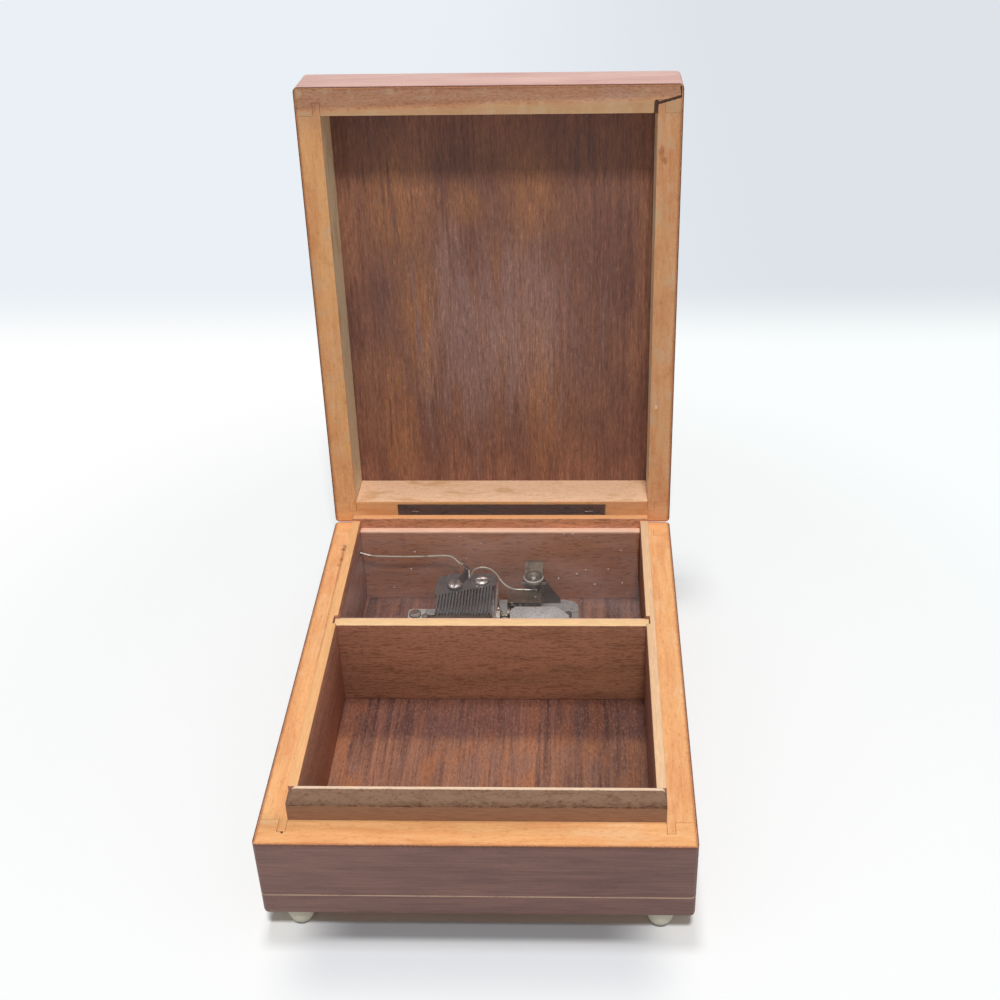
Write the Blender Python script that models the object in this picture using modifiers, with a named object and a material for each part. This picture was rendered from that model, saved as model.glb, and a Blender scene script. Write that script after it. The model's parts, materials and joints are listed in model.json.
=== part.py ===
"""Musical jewelry box: a veneered wooden box with a hinged lid and a wind-up comb movement.

The box stands with its front towards -Y and its lid open, leaning back past upright.
All sizes are in metres and +Z is up. The box is built round the centre of its underside, and is then moved so
that the origin lies level with the feet, under the middle of the open box.
"""

import math

import bmesh
import bpy
from mathutils import Matrix, Vector

# Box and lid
BOX_WIDTH = 0.120
BOX_DEPTH = 0.154
BOX_HEIGHT = 0.0275
LID_HEIGHT = 0.019
LID_OPEN_ANGLE = math.radians(94)
RIM_GAP = 0.0003
EDGE_ROUND = 0.0014
VENEER = 0.0006
GLUE_LINE = 0.00005

# Carcass rails, with the veneer included
SIDE_RAIL = 0.0082
FRONT_RAIL = 0.0092
REAR_RAIL = 0.0084
LID_RAIL_CLEARANCE = 0.0004
TONGUE_WIDTH = 0.0024
TONGUE_FIT = 0.0001
SHOULDER_EASE = 0.00003

# Floor and lid board
BASE_BOARD = 0.0029
FLOOR_VENEER = 0.0005
LID_BOARD = 0.0022

# Linings, partition and the ledges under the pane
SIDE_LINING = 0.0028
REAR_LINING = 0.0026
FRONT_LIP = 0.0049
LINING_PROUD = 0.0080
REAR_LINING_PROUD = 0.0090
LIP_BEVEL_DEPTH = 0.0042
LIP_BEVEL_DROP = 0.0028
LIP_BEVEL_STEPS = 5
LIP_LEFT_CUT = 0.0020
LIP_RIGHT_CUT = 0.0012
REAR_COMPARTMENT = 0.0536
PARTITION = 0.0036
PARTITION_PROUD = 0.0069
PARTITION_NOTCH = 0.0012
PARTITION_FIT = 0.0002
REAR_LEDGE = 0.0026
PARTITION_LEDGE = 0.0022
PARTITION_LEDGE_HEIGHT = 0.0060
LEDGE_PROUD = 0.0052
PANE = 0.0010
PANE_SEAT = 0.00005
PANE_EDGE_GAP = 0.0005
PANE_RIGHT_GAP = 0.0016

# Light stringing line let into the veneer
STRINGING_HEIGHT = 0.00045
STRINGING_DEPTH = 0.0004
STRINGING_LEVEL = 0.0079
INLAY_GAP = 0.00003

# Feet
FOOT_RADIUS = 0.0042
FOOT_TIP_RADIUS = 0.0014
FOOT_HEIGHT = 0.0078
FOOT_SIDE_INSET = 0.0092
FOOT_END_INSET = 0.0058

# Hinge
HINGE_LENGTH = 0.074
HINGE_LEAF_WIDTH = 0.0070
HINGE_LEAF = 0.0007
HINGE_LEAF_GAP = 0.00005
KNUCKLE_RADIUS = 0.0011
HINGE_PIN_RADIUS = 0.0005
HINGE_PIN_GAP = 0.0001
KNUCKLE_COUNT = 5
KNUCKLE_GAP = 0.0003
HINGE_BED_GAP = 0.0001
HINGE_SCREW_INSET = 0.0058
HINGE_SCREW_FROM_EDGE = 0.0026
HINGE_SCREW_HEAD_RADIUS = 0.0015
HINGE_SCREW_SHANK_RADIUS = 0.0008
HINGE_SCREW_LENGTH = 0.0060
SCREW_FIT = 0.0001

# Movement: bedplate and its place in the rear compartment
MOVEMENT_REAR_GAP = 0.0044
BED_LEFT = -0.0300
BED_RIGHT = 0.0275
BED_LENGTH = 0.0430
BED_THICKNESS = 0.0024
BED_CORNER = 0.0045
BED_NOTCH_WIDTH = 0.0074
BED_NOTCH_LENGTH = 0.0054
SEAT_GAP = 0.0003

# Cylinder and its gears
CYLINDER_FORWARD = 0.0305
CYLINDER_ABOVE_BED = 0.0088
CYLINDER_RADIUS = 0.0065
CYLINDER_LEFT = -0.0232
CYLINDER_RIGHT = -0.0016
PIN_HEIGHT = 0.0006
ARBOR_RADIUS = 0.0010
ARBOR_GAP = 0.0001
DRIVE_TEETH = 40
DRIVE_MODULE = 0.0004
DRIVE_LEFT = 0.0002
DRIVE_WIDTH = 0.0012
POWER_TEETH = 20
POWER_MODULE = 0.0005
POWER_LEFT = 0.0019
POWER_WIDTH = 0.0012
MESH_GAP = 0.00008

# Comb
NOTE_COUNT = 18
COMB_LEFT = -0.0219
COMB_RIGHT = -0.0013
COMB_FIELD_MARGIN = 0.0007
COMB_THICKNESS = 0.0013
COMB_ABOVE_AXIS = 0.0036
COMB_REAR_FORWARD = 0.0012
COMB_CORNER_CUT = 0.0016
COMB_TIP_GAP = 0.0009
SLOT_SHARE = 0.40
TREBLE_TOOTH_LENGTH = 0.0101
BASS_TOOTH_LENGTH = 0.0154
COMB_SCREW_RADIUS = 0.0026
COMB_SCREW_HEIGHT = 0.0013
COMB_SCREW_SHANK = 0.0013
COMB_SCREW_LEFT = -0.0154
COMB_SCREW_LEFT_FORWARD = 0.0073
COMB_SCREW_RIGHT = -0.0062
COMB_SCREW_RIGHT_FORWARD = 0.0046

# Bearing brackets
BRACKET = 0.0008
BRACKET_LEFT_FACE = -0.0247
BRACKET_RIGHT_FACE = -0.0010
BRACKET_TAB_WIDTH = 0.0060
BRACKET_TAB_LENGTH = 0.0056
BRACKET_TAB_BELOW_AXIS = 0.0003

# Spring barrel, bridge, arbor and key
BARREL_X = 0.0145
BARREL_RADIUS = 0.0098
BARREL_TOP_GAP = 0.0006
CROWN_TEETH = 48
CROWN_FACE = 0.0012
CROWN_ENGAGEMENT = 0.0004
CROWN_TOOTH_HEIGHT = 0.0009
BARREL_FLANGE_GAP = 0.0006
BRIDGE_THICKNESS = 0.0010
BRIDGE_HALF_WIDTH = 0.0099
BRIDGE_REAR = 0.0083
BRIDGE_CHAMFER = 0.0028
BRIDGE_REAR_CHAMFER = 0.0017
BRIDGE_LEVEL = 0.0132
PILLAR_RADIUS = 0.0013
PILLAR_REACH_X = 0.0090
PILLAR_REACH_Y = 0.0112
WINDING_ARBOR_RADIUS = 0.0016
WINDING_GAP = 0.0002
KEY_HUB_RADIUS = 0.0034
KEY_WIDTH = 0.0190
KEY_THICKNESS = 0.0016
KEY_HEIGHT = 0.0044
KEY_GAP = 0.0007

# Governor train, worm and fan
TRAIN_PINION_TEETH = 10
TRAIN_WHEEL_TEETH = 24
TRAIN_MODULE = 0.0003
TRAIN_ANGLE = math.radians(1)
TRAIN_WHEEL_LEFT = 0.0056
TRAIN_WHEEL_WIDTH = 0.0010
WORM_PINION_TEETH = 10
WORM_PINION_ANGLE = math.radians(-3)
WORM_WHEEL_TEETH = 20
WORM_MODULE = 0.0004
WORM_X = 0.0121
WORM_WHEEL_WIDTH = 0.0010
WORM_PITCH_RADIUS = 0.0012
WORM_CREST = 0.0003
WORM_ROOT = 0.0004
WORM_SHAFT_RADIUS = 0.0005
WORM_THREAD_LENGTH = 0.0052
GOVERNOR_FRAME_LEFT = 0.0034
GOVERNOR_FRAME_RIGHT = 0.0148
GOVERNOR_SHEET = 0.0008
GOVERNOR_FRAME_MIDDLE = 0.0082
GOVERNOR_ROOF_FRONT = 0.0202
GOVERNOR_PIVOT_MARGIN = 0.0015
GOVERNOR_FRAME_REAR = 0.0128
GOVERNOR_FRAME_TOP = 0.0142
TRAIN_ARBOR_RADIUS = 0.0005
FAN_RADIUS = 0.0044
FAN_LEVEL = 0.0144
FAN_HEIGHT = 0.0008
FAN_BLADE = 0.0004
COCK_WIDTH = 0.0064
COCK_THICKNESS = 0.0009
COCK_REAR = 0.0010
COCK_TOP = 0.0181
COCK_END_RADIUS = 0.0030
COCK_END_LEVEL = 0.0155
GUSSET_BELOW_TOP = 0.0075
GUSSET_REACH = 0.0058
GUSSET_TOE = 0.0012
CAP_RADIUS = 0.0035
CAP_HEIGHT = 0.0013

# Stop wire, its clip and the pin that the lid presses
WIRE_RADIUS = 0.0003
CLIP_SHEET = 0.0005
CLIP_WIDTH = 0.0026
BEAD_RADIUS = 0.0010
STOP_WIRE_SWING = math.radians(1.6)
PIN_FROM_EDGE = 0.0056
PIN_FROM_REAR = 0.0168
PIN_RADIUS = 0.00065
PIN_HOLE_GAP = 0.0002
PIN_TRAVEL = 0.00115
PIN_CLOSED_GAP = 0.00005
PIN_WIRE_DEPTH = 0.0015
POCKET_ROOF = 0.0009
POCKET_DEPTH = 0.0035
POCKET_WIDTH = 0.0014

# Places that follow from the sizes above
HALF_WIDTH = BOX_WIDTH / 2
HALF_DEPTH = BOX_DEPTH / 2
RIM = BOX_HEIGHT
HINGE_AXIS = Vector((0, HALF_DEPTH, RIM + RIM_GAP / 2))
FLOOR_TOP = BASE_BOARD + GLUE_LINE + FLOOR_VENEER
LINING_BOTTOM = FLOOR_TOP + GLUE_LINE
WALL_LEFT = -HALF_WIDTH + SIDE_RAIL
WALL_RIGHT = HALF_WIDTH - SIDE_RAIL
WALL_FRONT = -HALF_DEPTH + FRONT_RAIL
WALL_REAR = HALF_DEPTH - REAR_RAIL
INNER_LEFT = WALL_LEFT + SIDE_LINING
INNER_RIGHT = WALL_RIGHT - SIDE_LINING
INNER_FRONT = WALL_FRONT + FRONT_LIP
LINING_REAR_FACE = WALL_REAR - REAR_LINING
PARTITION_REAR = LINING_REAR_FACE - REAR_COMPARTMENT
PARTITION_FRONT = PARTITION_REAR - PARTITION
LEDGE_FACE = LINING_REAR_FACE - REAR_LEDGE
LEDGE_TOP = RIM + LEDGE_PROUD

BED_REAR = LEDGE_FACE - MOVEMENT_REAR_GAP
BED_FRONT = BED_REAR - BED_LENGTH
BED_BOTTOM = FLOOR_TOP + SEAT_GAP
BED_TOP = BED_BOTTOM + BED_THICKNESS
CYLINDER_Y = BED_REAR - CYLINDER_FORWARD
CYLINDER_Z = BED_TOP + CYLINDER_ABOVE_BED
COMB_TOP = CYLINDER_Z + COMB_ABOVE_AXIS
COMB_BOTTOM = COMB_TOP - COMB_THICKNESS
COMB_REAR = BED_REAR - COMB_REAR_FORWARD
COMB_TIPS = CYLINDER_Y + math.sqrt(CYLINDER_RADIUS ** 2 - (COMB_BOTTOM - CYLINDER_Z) ** 2) + COMB_TIP_GAP

DRIVE_RADIUS = DRIVE_TEETH * DRIVE_MODULE / 2
POWER_RADIUS = POWER_TEETH * POWER_MODULE / 2
TRAIN_PINION_RADIUS = TRAIN_PINION_TEETH * DRIVE_MODULE / 2
TRAIN_WHEEL_RADIUS = TRAIN_WHEEL_TEETH * TRAIN_MODULE / 2
WORM_PINION_RADIUS = WORM_PINION_TEETH * TRAIN_MODULE / 2
WORM_WHEEL_RADIUS = WORM_WHEEL_TEETH * WORM_MODULE / 2
TRAIN_REACH = DRIVE_RADIUS + TRAIN_PINION_RADIUS + MESH_GAP
TRAIN_Y = CYLINDER_Y + TRAIN_REACH * math.cos(TRAIN_ANGLE)
TRAIN_Z = CYLINDER_Z + TRAIN_REACH * math.sin(TRAIN_ANGLE)
WORM_REACH = TRAIN_WHEEL_RADIUS + WORM_PINION_RADIUS + MESH_GAP
WORM_WHEEL_Y = TRAIN_Y + WORM_REACH * math.cos(WORM_PINION_ANGLE)
WORM_WHEEL_Z = TRAIN_Z + WORM_REACH * math.sin(WORM_PINION_ANGLE)
WORM_Y = WORM_WHEEL_Y + WORM_WHEEL_RADIUS + WORM_PITCH_RADIUS + MESH_GAP
WORM_PITCH = math.pi * WORM_MODULE

CROWN_RADIUS = CROWN_TEETH * POWER_MODULE / 2
CROWN_TIP = CYLINDER_Z - POWER_RADIUS - MESH_GAP + CROWN_ENGAGEMENT
CROWN_ROOT = CROWN_TIP - CROWN_TOOTH_HEIGHT
BARREL_Y = CYLINDER_Y
FLANGE_BOTTOM = BED_TOP + BARREL_FLANGE_GAP
BRIDGE_BOTTOM = BED_TOP + BRIDGE_LEVEL
BARREL_TOP = BRIDGE_BOTTOM - BARREL_TOP_GAP

# Ratios of the train, counted against the barrel
CYLINDER_RATIO = CROWN_TEETH / POWER_TEETH
TRAIN_RATIO = -CYLINDER_RATIO * DRIVE_TEETH / TRAIN_PINION_TEETH
WORM_WHEEL_RATIO = -TRAIN_RATIO * TRAIN_WHEEL_TEETH / WORM_PINION_TEETH

OBJECT_NAME = "musical_jewelry_box"


def new_collection(name):
    """Make a collection under the scene's own."""
    collection = bpy.data.collections.new(name)
    bpy.context.scene.collection.children.link(collection)
    return collection


def finish(name, color, roughness, metallic=0.0, alpha=1.0):
    """Make a plain Principled material."""
    material = bpy.data.materials.new(name)
    material.use_nodes = True
    shader = material.node_tree.nodes["Principled BSDF"]
    shader.inputs["Base Color"].default_value = (*color, 1)
    shader.inputs["Roughness"].default_value = roughness
    shader.inputs["Metallic"].default_value = metallic
    shader.inputs["Alpha"].default_value = alpha
    material.diffuse_color = (*color, alpha)
    return material


def place(name, mesh, material=None, parent=None, round_angle=None):
    """Link a mesh as an object: a part where it has a material, otherwise a cutter."""
    obj = bpy.data.objects.new(name, mesh)
    if material:
        PARTS.objects.link(obj)
        mesh.materials.append(material)
    else:
        CUTTERS.objects.link(obj)
        obj.hide_render = True
        obj.display_type = "WIRE"
    if round_angle:
        mesh.shade_smooth()
        mesh.set_sharp_from_angle(angle=math.radians(round_angle))
    if parent:
        obj.parent = parent
    return obj


def mesh_from(name, bm):
    """Write a bmesh into a new mesh, with its faces pointing out."""
    bmesh.ops.recalc_face_normals(bm, faces=bm.faces[:])
    mesh = bpy.data.meshes.new(name)
    bm.to_mesh(mesh)
    bm.free()
    return mesh


def block(name, low, high, material=None, parent=None, bevel=0.0):
    """A box between two corners, with its edges bevelled if asked."""
    low = Vector(low)
    high = Vector(high)
    bm = bmesh.new()
    bmesh.ops.create_cube(bm, size=1)
    bmesh.ops.scale(bm, vec=high - low, verts=bm.verts)
    bmesh.ops.translate(bm, vec=(low + high) / 2, verts=bm.verts)
    obj = place(name, mesh_from(name, bm), material, parent)
    if bevel:
        edge = obj.modifiers.new("bevel", "BEVEL")
        edge.width = bevel
        edge.segments = 1
    return obj


AXIS_TURN = {
    "X": Matrix(((0, 0, 1, 0), (1, 0, 0, 0), (0, 1, 0, 0), (0, 0, 0, 1))),
    "Y": Matrix(((1, 0, 0, 0), (0, 0, -1, 0), (0, 1, 0, 0), (0, 0, 0, 1))),
    "Z": Matrix.Identity(4),
}


def plate(name, outline, low, high, axis="Z", material=None, parent=None, holes=(), smooth=None):
    """A flat outline extruded along an axis: (x, y) for Z, (y, z) for X and (x, z) for Y."""
    curve = bpy.data.curves.new(name, "CURVE")
    curve.dimensions = "2D"
    curve.fill_mode = "BOTH"
    curve.extrude = (high - low) / 2
    for loop in (outline, *holes):
        spline = curve.splines.new("POLY")
        spline.points.add(len(loop) - 1)
        for point, (u, v) in zip(spline.points, loop):
            point.co = (u, v, 0, 1)
        spline.use_cyclic_u = True
    drawn = bpy.data.objects.new(name + "_outline", curve)
    bpy.context.scene.collection.objects.link(drawn)
    middle = (low + high) / 2
    along = {"X": (middle, 0, 0), "Y": (0, middle, 0), "Z": (0, 0, middle)}[axis]
    drawn.matrix_world = Matrix.Translation(along) @ AXIS_TURN[axis]
    return curve_to_mesh(name, drawn, material, parent, smooth)


def curve_to_mesh(name, drawn, material, parent, smooth=None):
    """Turn a curve object into a closed mesh with its caps welded."""
    bpy.context.view_layer.update()
    solid = bpy.data.meshes.new_from_object(drawn.evaluated_get(bpy.context.evaluated_depsgraph_get()))
    bm = bmesh.new()
    bm.from_mesh(solid)
    bmesh.ops.remove_doubles(bm, verts=bm.verts[:], dist=1e-7)
    bmesh.ops.transform(bm, matrix=drawn.matrix_world, verts=bm.verts)
    mesh = mesh_from(name, bm)
    bpy.data.objects.remove(drawn, do_unlink=True)
    return place(name, mesh, material, parent, smooth)


def rod(name, centre, low, high, radius, axis="Z", material=None, parent=None, sides=16, tip=None):
    """A round bar along an axis, or a cone where the radius at its high end is given."""
    bm = bmesh.new()
    bmesh.ops.create_cone(bm, cap_ends=True, segments=sides, radius1=radius,
                          radius2=radius if tip is None else tip, depth=high - low)
    turn = AXIS_TURN[axis]
    middle = (low + high) / 2
    u, v = centre
    spot = {"X": (middle, u, v), "Y": (u, middle, v), "Z": (u, v, middle)}[axis]
    if axis == "Y":
        turn = Matrix.Rotation(math.radians(-90), 4, "X")
    bmesh.ops.transform(bm, matrix=Matrix.Translation(spot) @ turn, verts=bm.verts)
    return place(name, mesh_from(name, bm), material, parent, 40)


def turned(name, profile, centre, material=None, parent=None, steps=24, closed=False):
    """A profile of (radius, height) points turned about a vertical axis, listed top to bottom."""
    bm = bmesh.new()
    points = [bm.verts.new((radius, 0, height)) for radius, height in profile]
    pairs = list(zip(points, points[1:]))
    if closed:
        pairs.append((points[-1], points[0]))
    for start, end in pairs:
        bm.edges.new((start, end))
    mesh = bpy.data.meshes.new(name)
    bm.to_mesh(mesh)
    bm.free()
    obj = place(name, mesh, material, parent)
    obj.location = (centre[0], centre[1], 0)
    screw = obj.modifiers.new("turn", "SCREW")
    screw.steps = steps
    screw.render_steps = steps
    screw.use_merge_vertices = True
    screw.merge_threshold = 1e-6
    return obj


def tube(name, points, radius, material=None, parent=None, resolution=1, smooth_steps=3):
    """A bent wire through a few chosen points, smoothed between them."""
    curve = bpy.data.curves.new(name, "CURVE")
    curve.dimensions = "3D"
    curve.bevel_depth = radius
    curve.bevel_resolution = resolution
    curve.use_fill_caps = True
    path = smooth_path([Vector(point) for point in points], smooth_steps)
    spline = curve.splines.new("POLY")
    spline.points.add(len(path) - 1)
    for point, co in zip(spline.points, path):
        point.co = (*co, 1)
    drawn = bpy.data.objects.new(name + "_path", curve)
    bpy.context.scene.collection.objects.link(drawn)
    return curve_to_mesh(name, drawn, material, parent, 60)


def smooth_path(points, steps):
    """Points read from a Catmull-Rom curve through the given ones."""
    ends = [points[0] * 2 - points[1], *points, points[-1] * 2 - points[-2]]
    path = []
    for before, start, end, after in zip(ends, ends[1:], ends[2:], ends[3:]):
        for step in range(steps):
            t = step / steps
            path.append(0.5 * (start * 2 + (end - before) * t
                               + (before * 2 - start * 5 + end * 4 - after) * t ** 2
                               + (start * 3 - before - end * 3 + after) * t ** 3))
    path.append(points[-1])
    return path


def combine(target, tool, operation="DIFFERENCE"):
    """Cut a tool from a part, join it on or keep what both share."""
    step = target.modifiers.new(operation.lower(), "BOOLEAN")
    step.object = tool
    step.operation = operation
    step.solver = "EXACT"
    return target


def rectangle(left, front, right, rear):
    """The four corners of a rectangle."""
    return [(left, front), (right, front), (right, rear), (left, rear)]


def circle(u, v, radius, sides=16):
    """Points round a circle."""
    turns = [2 * math.pi * i / sides for i in range(sides)]
    return [(u + radius * math.cos(a), v + radius * math.sin(a)) for a in turns]


def rounded_rectangle(left, front, right, rear, radius, sides=4):
    """A rectangle with round corners."""
    corners = [(right - radius, front + radius, -90), (right - radius, rear - radius, 0),
               (left + radius, rear - radius, 90), (left + radius, front + radius, 180)]
    points = []
    for u, v, start in corners:
        for i in range(sides + 1):
            a = math.radians(start + 90 * i / sides)
            points.append((u + radius * math.cos(a), v + radius * math.sin(a)))
    return points


def gear_outline(u, v, teeth, module, phase, tip_share=0.22, root_share=0.52):
    """Straight-flanked teeth round a centre, with a tooth's middle at the phase angle."""
    pitch_radius = teeth * module / 2
    levels = ((pitch_radius - 1.15 * module, root_share), (pitch_radius + 0.85 * module, tip_share))
    step = 2 * math.pi / teeth
    points = []
    for tooth in range(teeth):
        middle = phase + tooth * step
        rising = [(radius, middle - share * step / 2) for radius, share in levels]
        falling = [(radius, middle + share * step / 2) for radius, share in reversed(levels)]
        for radius, angle in rising + falling:
            points.append((u + radius * math.cos(angle), v + radius * math.sin(angle)))
    return points


def envelope(name, low, high, round_top, parent=None):
    """A box with the outer edges rounded, but left square where the box and lid meet."""
    obj = block(name, low, high, None, parent)
    bm = bmesh.new()
    bm.from_mesh(obj.data)
    flat_level = low[2] if round_top else high[2]
    outer = [edge for edge in bm.edges
             if not all(abs(vert.co.z - flat_level) < 1e-6 for vert in edge.verts)]
    bmesh.ops.bevel(bm, geom=outer, offset=EDGE_ROUND, segments=3, profile=0.5, affect="EDGES", material=-1)
    bm.to_mesh(obj.data)
    bm.free()
    return obj


def rail_outline(left, right, outer, inner, dado_left, dado_right, dado_end):
    """The plan of a front or rear rail, with a dado near each end for a side rail's tongue."""
    ease = math.copysign(SHOULDER_EASE, outer - inner)
    return [(left, outer), (right, outer), (right, inner + ease), (dado_right, inner + ease),
            (dado_right, dado_end + ease), (dado_right - TONGUE_WIDTH, dado_end),
            (dado_right - TONGUE_WIDTH, inner), (dado_left + TONGUE_WIDTH, inner),
            (dado_left + TONGUE_WIDTH, dado_end), (dado_left, dado_end + ease), (dado_left, inner + ease),
            (left, inner + ease)]


def frame_of_rails(prefix, bottom, top, side, front, rear, parent, offset, shell):
    """Four rails with lock-rabbet corners and the four veneers glued round them."""
    ox, oy, oz = offset
    skin = VENEER + GLUE_LINE
    out_x = HALF_WIDTH - skin
    front_outer = -HALF_DEPTH + skin
    rear_outer = HALF_DEPTH - skin
    front_inner = -HALF_DEPTH + front
    rear_inner = HALF_DEPTH - rear
    inner_x = HALF_WIDTH - side
    front_dado = (front_outer + front_inner) / 2
    rear_dado = (rear_outer + rear_inner) / 2
    low = bottom - oz
    high = top - oz

    def moved(points):
        return [(x - ox, y - oy) for x, y in points]

    dado_x = inner_x + TONGUE_WIDTH - TONGUE_FIT
    rails = {}
    plans = {
        "front_rail": rail_outline(-out_x, out_x, front_outer, front_inner, -dado_x, dado_x, front_dado),
        "rear_rail": rail_outline(-out_x, out_x, rear_outer, rear_inner, -dado_x, dado_x, rear_dado),
    }
    for hand, name in ((-1, "left_rail"), (1, "right_rail")):
        tongue_x = hand * (inner_x + TONGUE_WIDTH - 2 * TONGUE_FIT)
        plans[name] = [
            (hand * inner_x, front_dado + TONGUE_FIT), (hand * inner_x, rear_dado - TONGUE_FIT),
            (tongue_x, rear_dado - TONGUE_FIT), (tongue_x, rear_inner - GLUE_LINE),
            (hand * out_x, rear_inner - GLUE_LINE), (hand * out_x, front_inner + GLUE_LINE),
            (tongue_x, front_inner + GLUE_LINE), (tongue_x, front_dado + TONGUE_FIT)]
    for name, plan in plans.items():
        rail = plate(prefix + name, moved(plan), low, high, "Z", WOOD, parent)
        rails[name] = combine(rail, shell, "INTERSECT")
    veneers = {
        "front_veneer": ((-HALF_WIDTH, -HALF_DEPTH), (HALF_WIDTH, -HALF_DEPTH + VENEER)),
        "rear_veneer": ((-HALF_WIDTH, HALF_DEPTH - VENEER), (HALF_WIDTH, HALF_DEPTH)),
        "left_veneer": ((-HALF_WIDTH, front_outer), (-HALF_WIDTH + VENEER, rear_outer)),
        "right_veneer": ((HALF_WIDTH - VENEER, front_outer), (HALF_WIDTH, rear_outer)),
    }
    for name, (near, far) in veneers.items():
        sheet = block(prefix + name, (near[0] - ox, near[1] - oy, low), (far[0] - ox, far[1] - oy, high),
                      MAHOGANY, parent)
        rails[name] = combine(sheet, shell, "INTERSECT")
    return rails


def make_box():
    """The carcass, its veneers, the base and the light line round it."""
    shell = envelope("box_envelope", (-HALF_WIDTH, -HALF_DEPTH, 0), (HALF_WIDTH, HALF_DEPTH, RIM), False)
    pieces = frame_of_rails("", 0, RIM, SIDE_RAIL, FRONT_RAIL, REAR_RAIL, None, (0, 0, 0), shell)

    base = block("base_board", (WALL_LEFT + GLUE_LINE, WALL_FRONT + GLUE_LINE, 0),
                 (WALL_RIGHT - GLUE_LINE, WALL_REAR - GLUE_LINE, BASE_BOARD), WOOD)
    floor = block("floor_veneer", (WALL_LEFT + GLUE_LINE, WALL_FRONT + GLUE_LINE, BASE_BOARD + GLUE_LINE),
                  (WALL_RIGHT - GLUE_LINE, WALL_REAR - GLUE_LINE, FLOOR_TOP), MAHOGANY)
    bore = rod("arbor_bore", (BARREL_X, BARREL_Y), -FLOOR_TOP, 2 * FLOOR_TOP, WINDING_ARBOR_RADIUS + 0.0009)
    combine(base, bore)
    combine(floor, bore)

    low = STRINGING_LEVEL - STRINGING_HEIGHT / 2
    high = STRINGING_LEVEL + STRINGING_HEIGHT / 2
    outer = rectangle(-HALF_WIDTH, -HALF_DEPTH, HALF_WIDTH, HALF_DEPTH)
    inner = inlay_loop(STRINGING_DEPTH)
    line = plate("stringing_line", outer, low, high, "Z", LIGHT_WOOD, None, [inner])
    combine(line, shell, "INTERSECT")
    margin = EDGE_ROUND
    around = rectangle(-HALF_WIDTH - margin, -HALF_DEPTH - margin, HALF_WIDTH + margin, HALF_DEPTH + margin)
    inner = inlay_loop(STRINGING_DEPTH + INLAY_GAP)
    groove = plate("stringing_groove", around, low - INLAY_GAP, high + INLAY_GAP, "Z", None, None, [inner])
    for name in ("front_veneer", "rear_veneer", "left_veneer", "right_veneer", "front_rail", "rear_rail"):
        combine(pieces[name], groove)
    return pieces


def inlay_loop(depth):
    """The box's outline taken in by a depth, with its corners kept parallel to the outer ones."""
    return rounded_rectangle(-HALF_WIDTH + depth, -HALF_DEPTH + depth, HALF_WIDTH - depth, HALF_DEPTH - depth,
                             EDGE_ROUND - depth, 3)


def make_linings(pieces):
    """The strips that stand proud inside the rim, the partition, the ledges and the pane."""
    top = RIM + LINING_PROUD
    make_lip(top)

    rear_top = RIM + REAR_LINING_PROUD
    block("rear_lining", (WALL_LEFT + GLUE_LINE, LINING_REAR_FACE, LINING_BOTTOM),
          (WALL_RIGHT - GLUE_LINE, WALL_REAR - GLUE_LINE, rear_top), BEECH, None, 0.0003)

    notch = block("partition_notch",
                  (INNER_LEFT - PARTITION_NOTCH, PARTITION_FRONT - PARTITION_FIT, LINING_BOTTOM - 0.001),
                  (INNER_RIGHT + PARTITION_NOTCH, PARTITION_REAR + PARTITION_FIT, top + 0.001))
    linings = {}
    for name, outer, inner in (("left_lining", WALL_LEFT + GLUE_LINE, INNER_LEFT),
                               ("right_lining", INNER_RIGHT, WALL_RIGHT - GLUE_LINE)):
        section = [(outer, LINING_BOTTOM), (inner, LINING_BOTTOM), (inner, top), (outer, top)]
        lining = plate(name, section, INNER_FRONT + GLUE_LINE, LINING_REAR_FACE - GLUE_LINE, "Y", BEECH)
        linings[name] = combine(lining, notch)

    block("partition", (INNER_LEFT - PARTITION_NOTCH + PARTITION_FIT, PARTITION_FRONT, LINING_BOTTOM),
          (INNER_RIGHT + PARTITION_NOTCH - PARTITION_FIT, PARTITION_REAR, RIM + PARTITION_PROUD), BEECH, None, 0.0002)
    block("rear_ledge", (INNER_LEFT + GLUE_LINE, LEDGE_FACE, LINING_BOTTOM),
          (INNER_RIGHT - GLUE_LINE, LINING_REAR_FACE - GLUE_LINE, LEDGE_TOP), BEECH, None, 0.0002)
    block("partition_ledge",
          (INNER_LEFT + GLUE_LINE, PARTITION_REAR + PARTITION_FIT + GLUE_LINE, LEDGE_TOP - PARTITION_LEDGE_HEIGHT),
          (INNER_RIGHT - GLUE_LINE, PARTITION_REAR + PARTITION_FIT + PARTITION_LEDGE, LEDGE_TOP), BEECH)
    block("cover_pane", (INNER_LEFT + PANE_EDGE_GAP, PARTITION_REAR + PANE_EDGE_GAP, LEDGE_TOP + PANE_SEAT),
          (INNER_RIGHT - PANE_RIGHT_GAP, LINING_REAR_FACE - PANE_EDGE_GAP, LEDGE_TOP + PANE_SEAT + PANE), CLEAR)
    return linings


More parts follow.
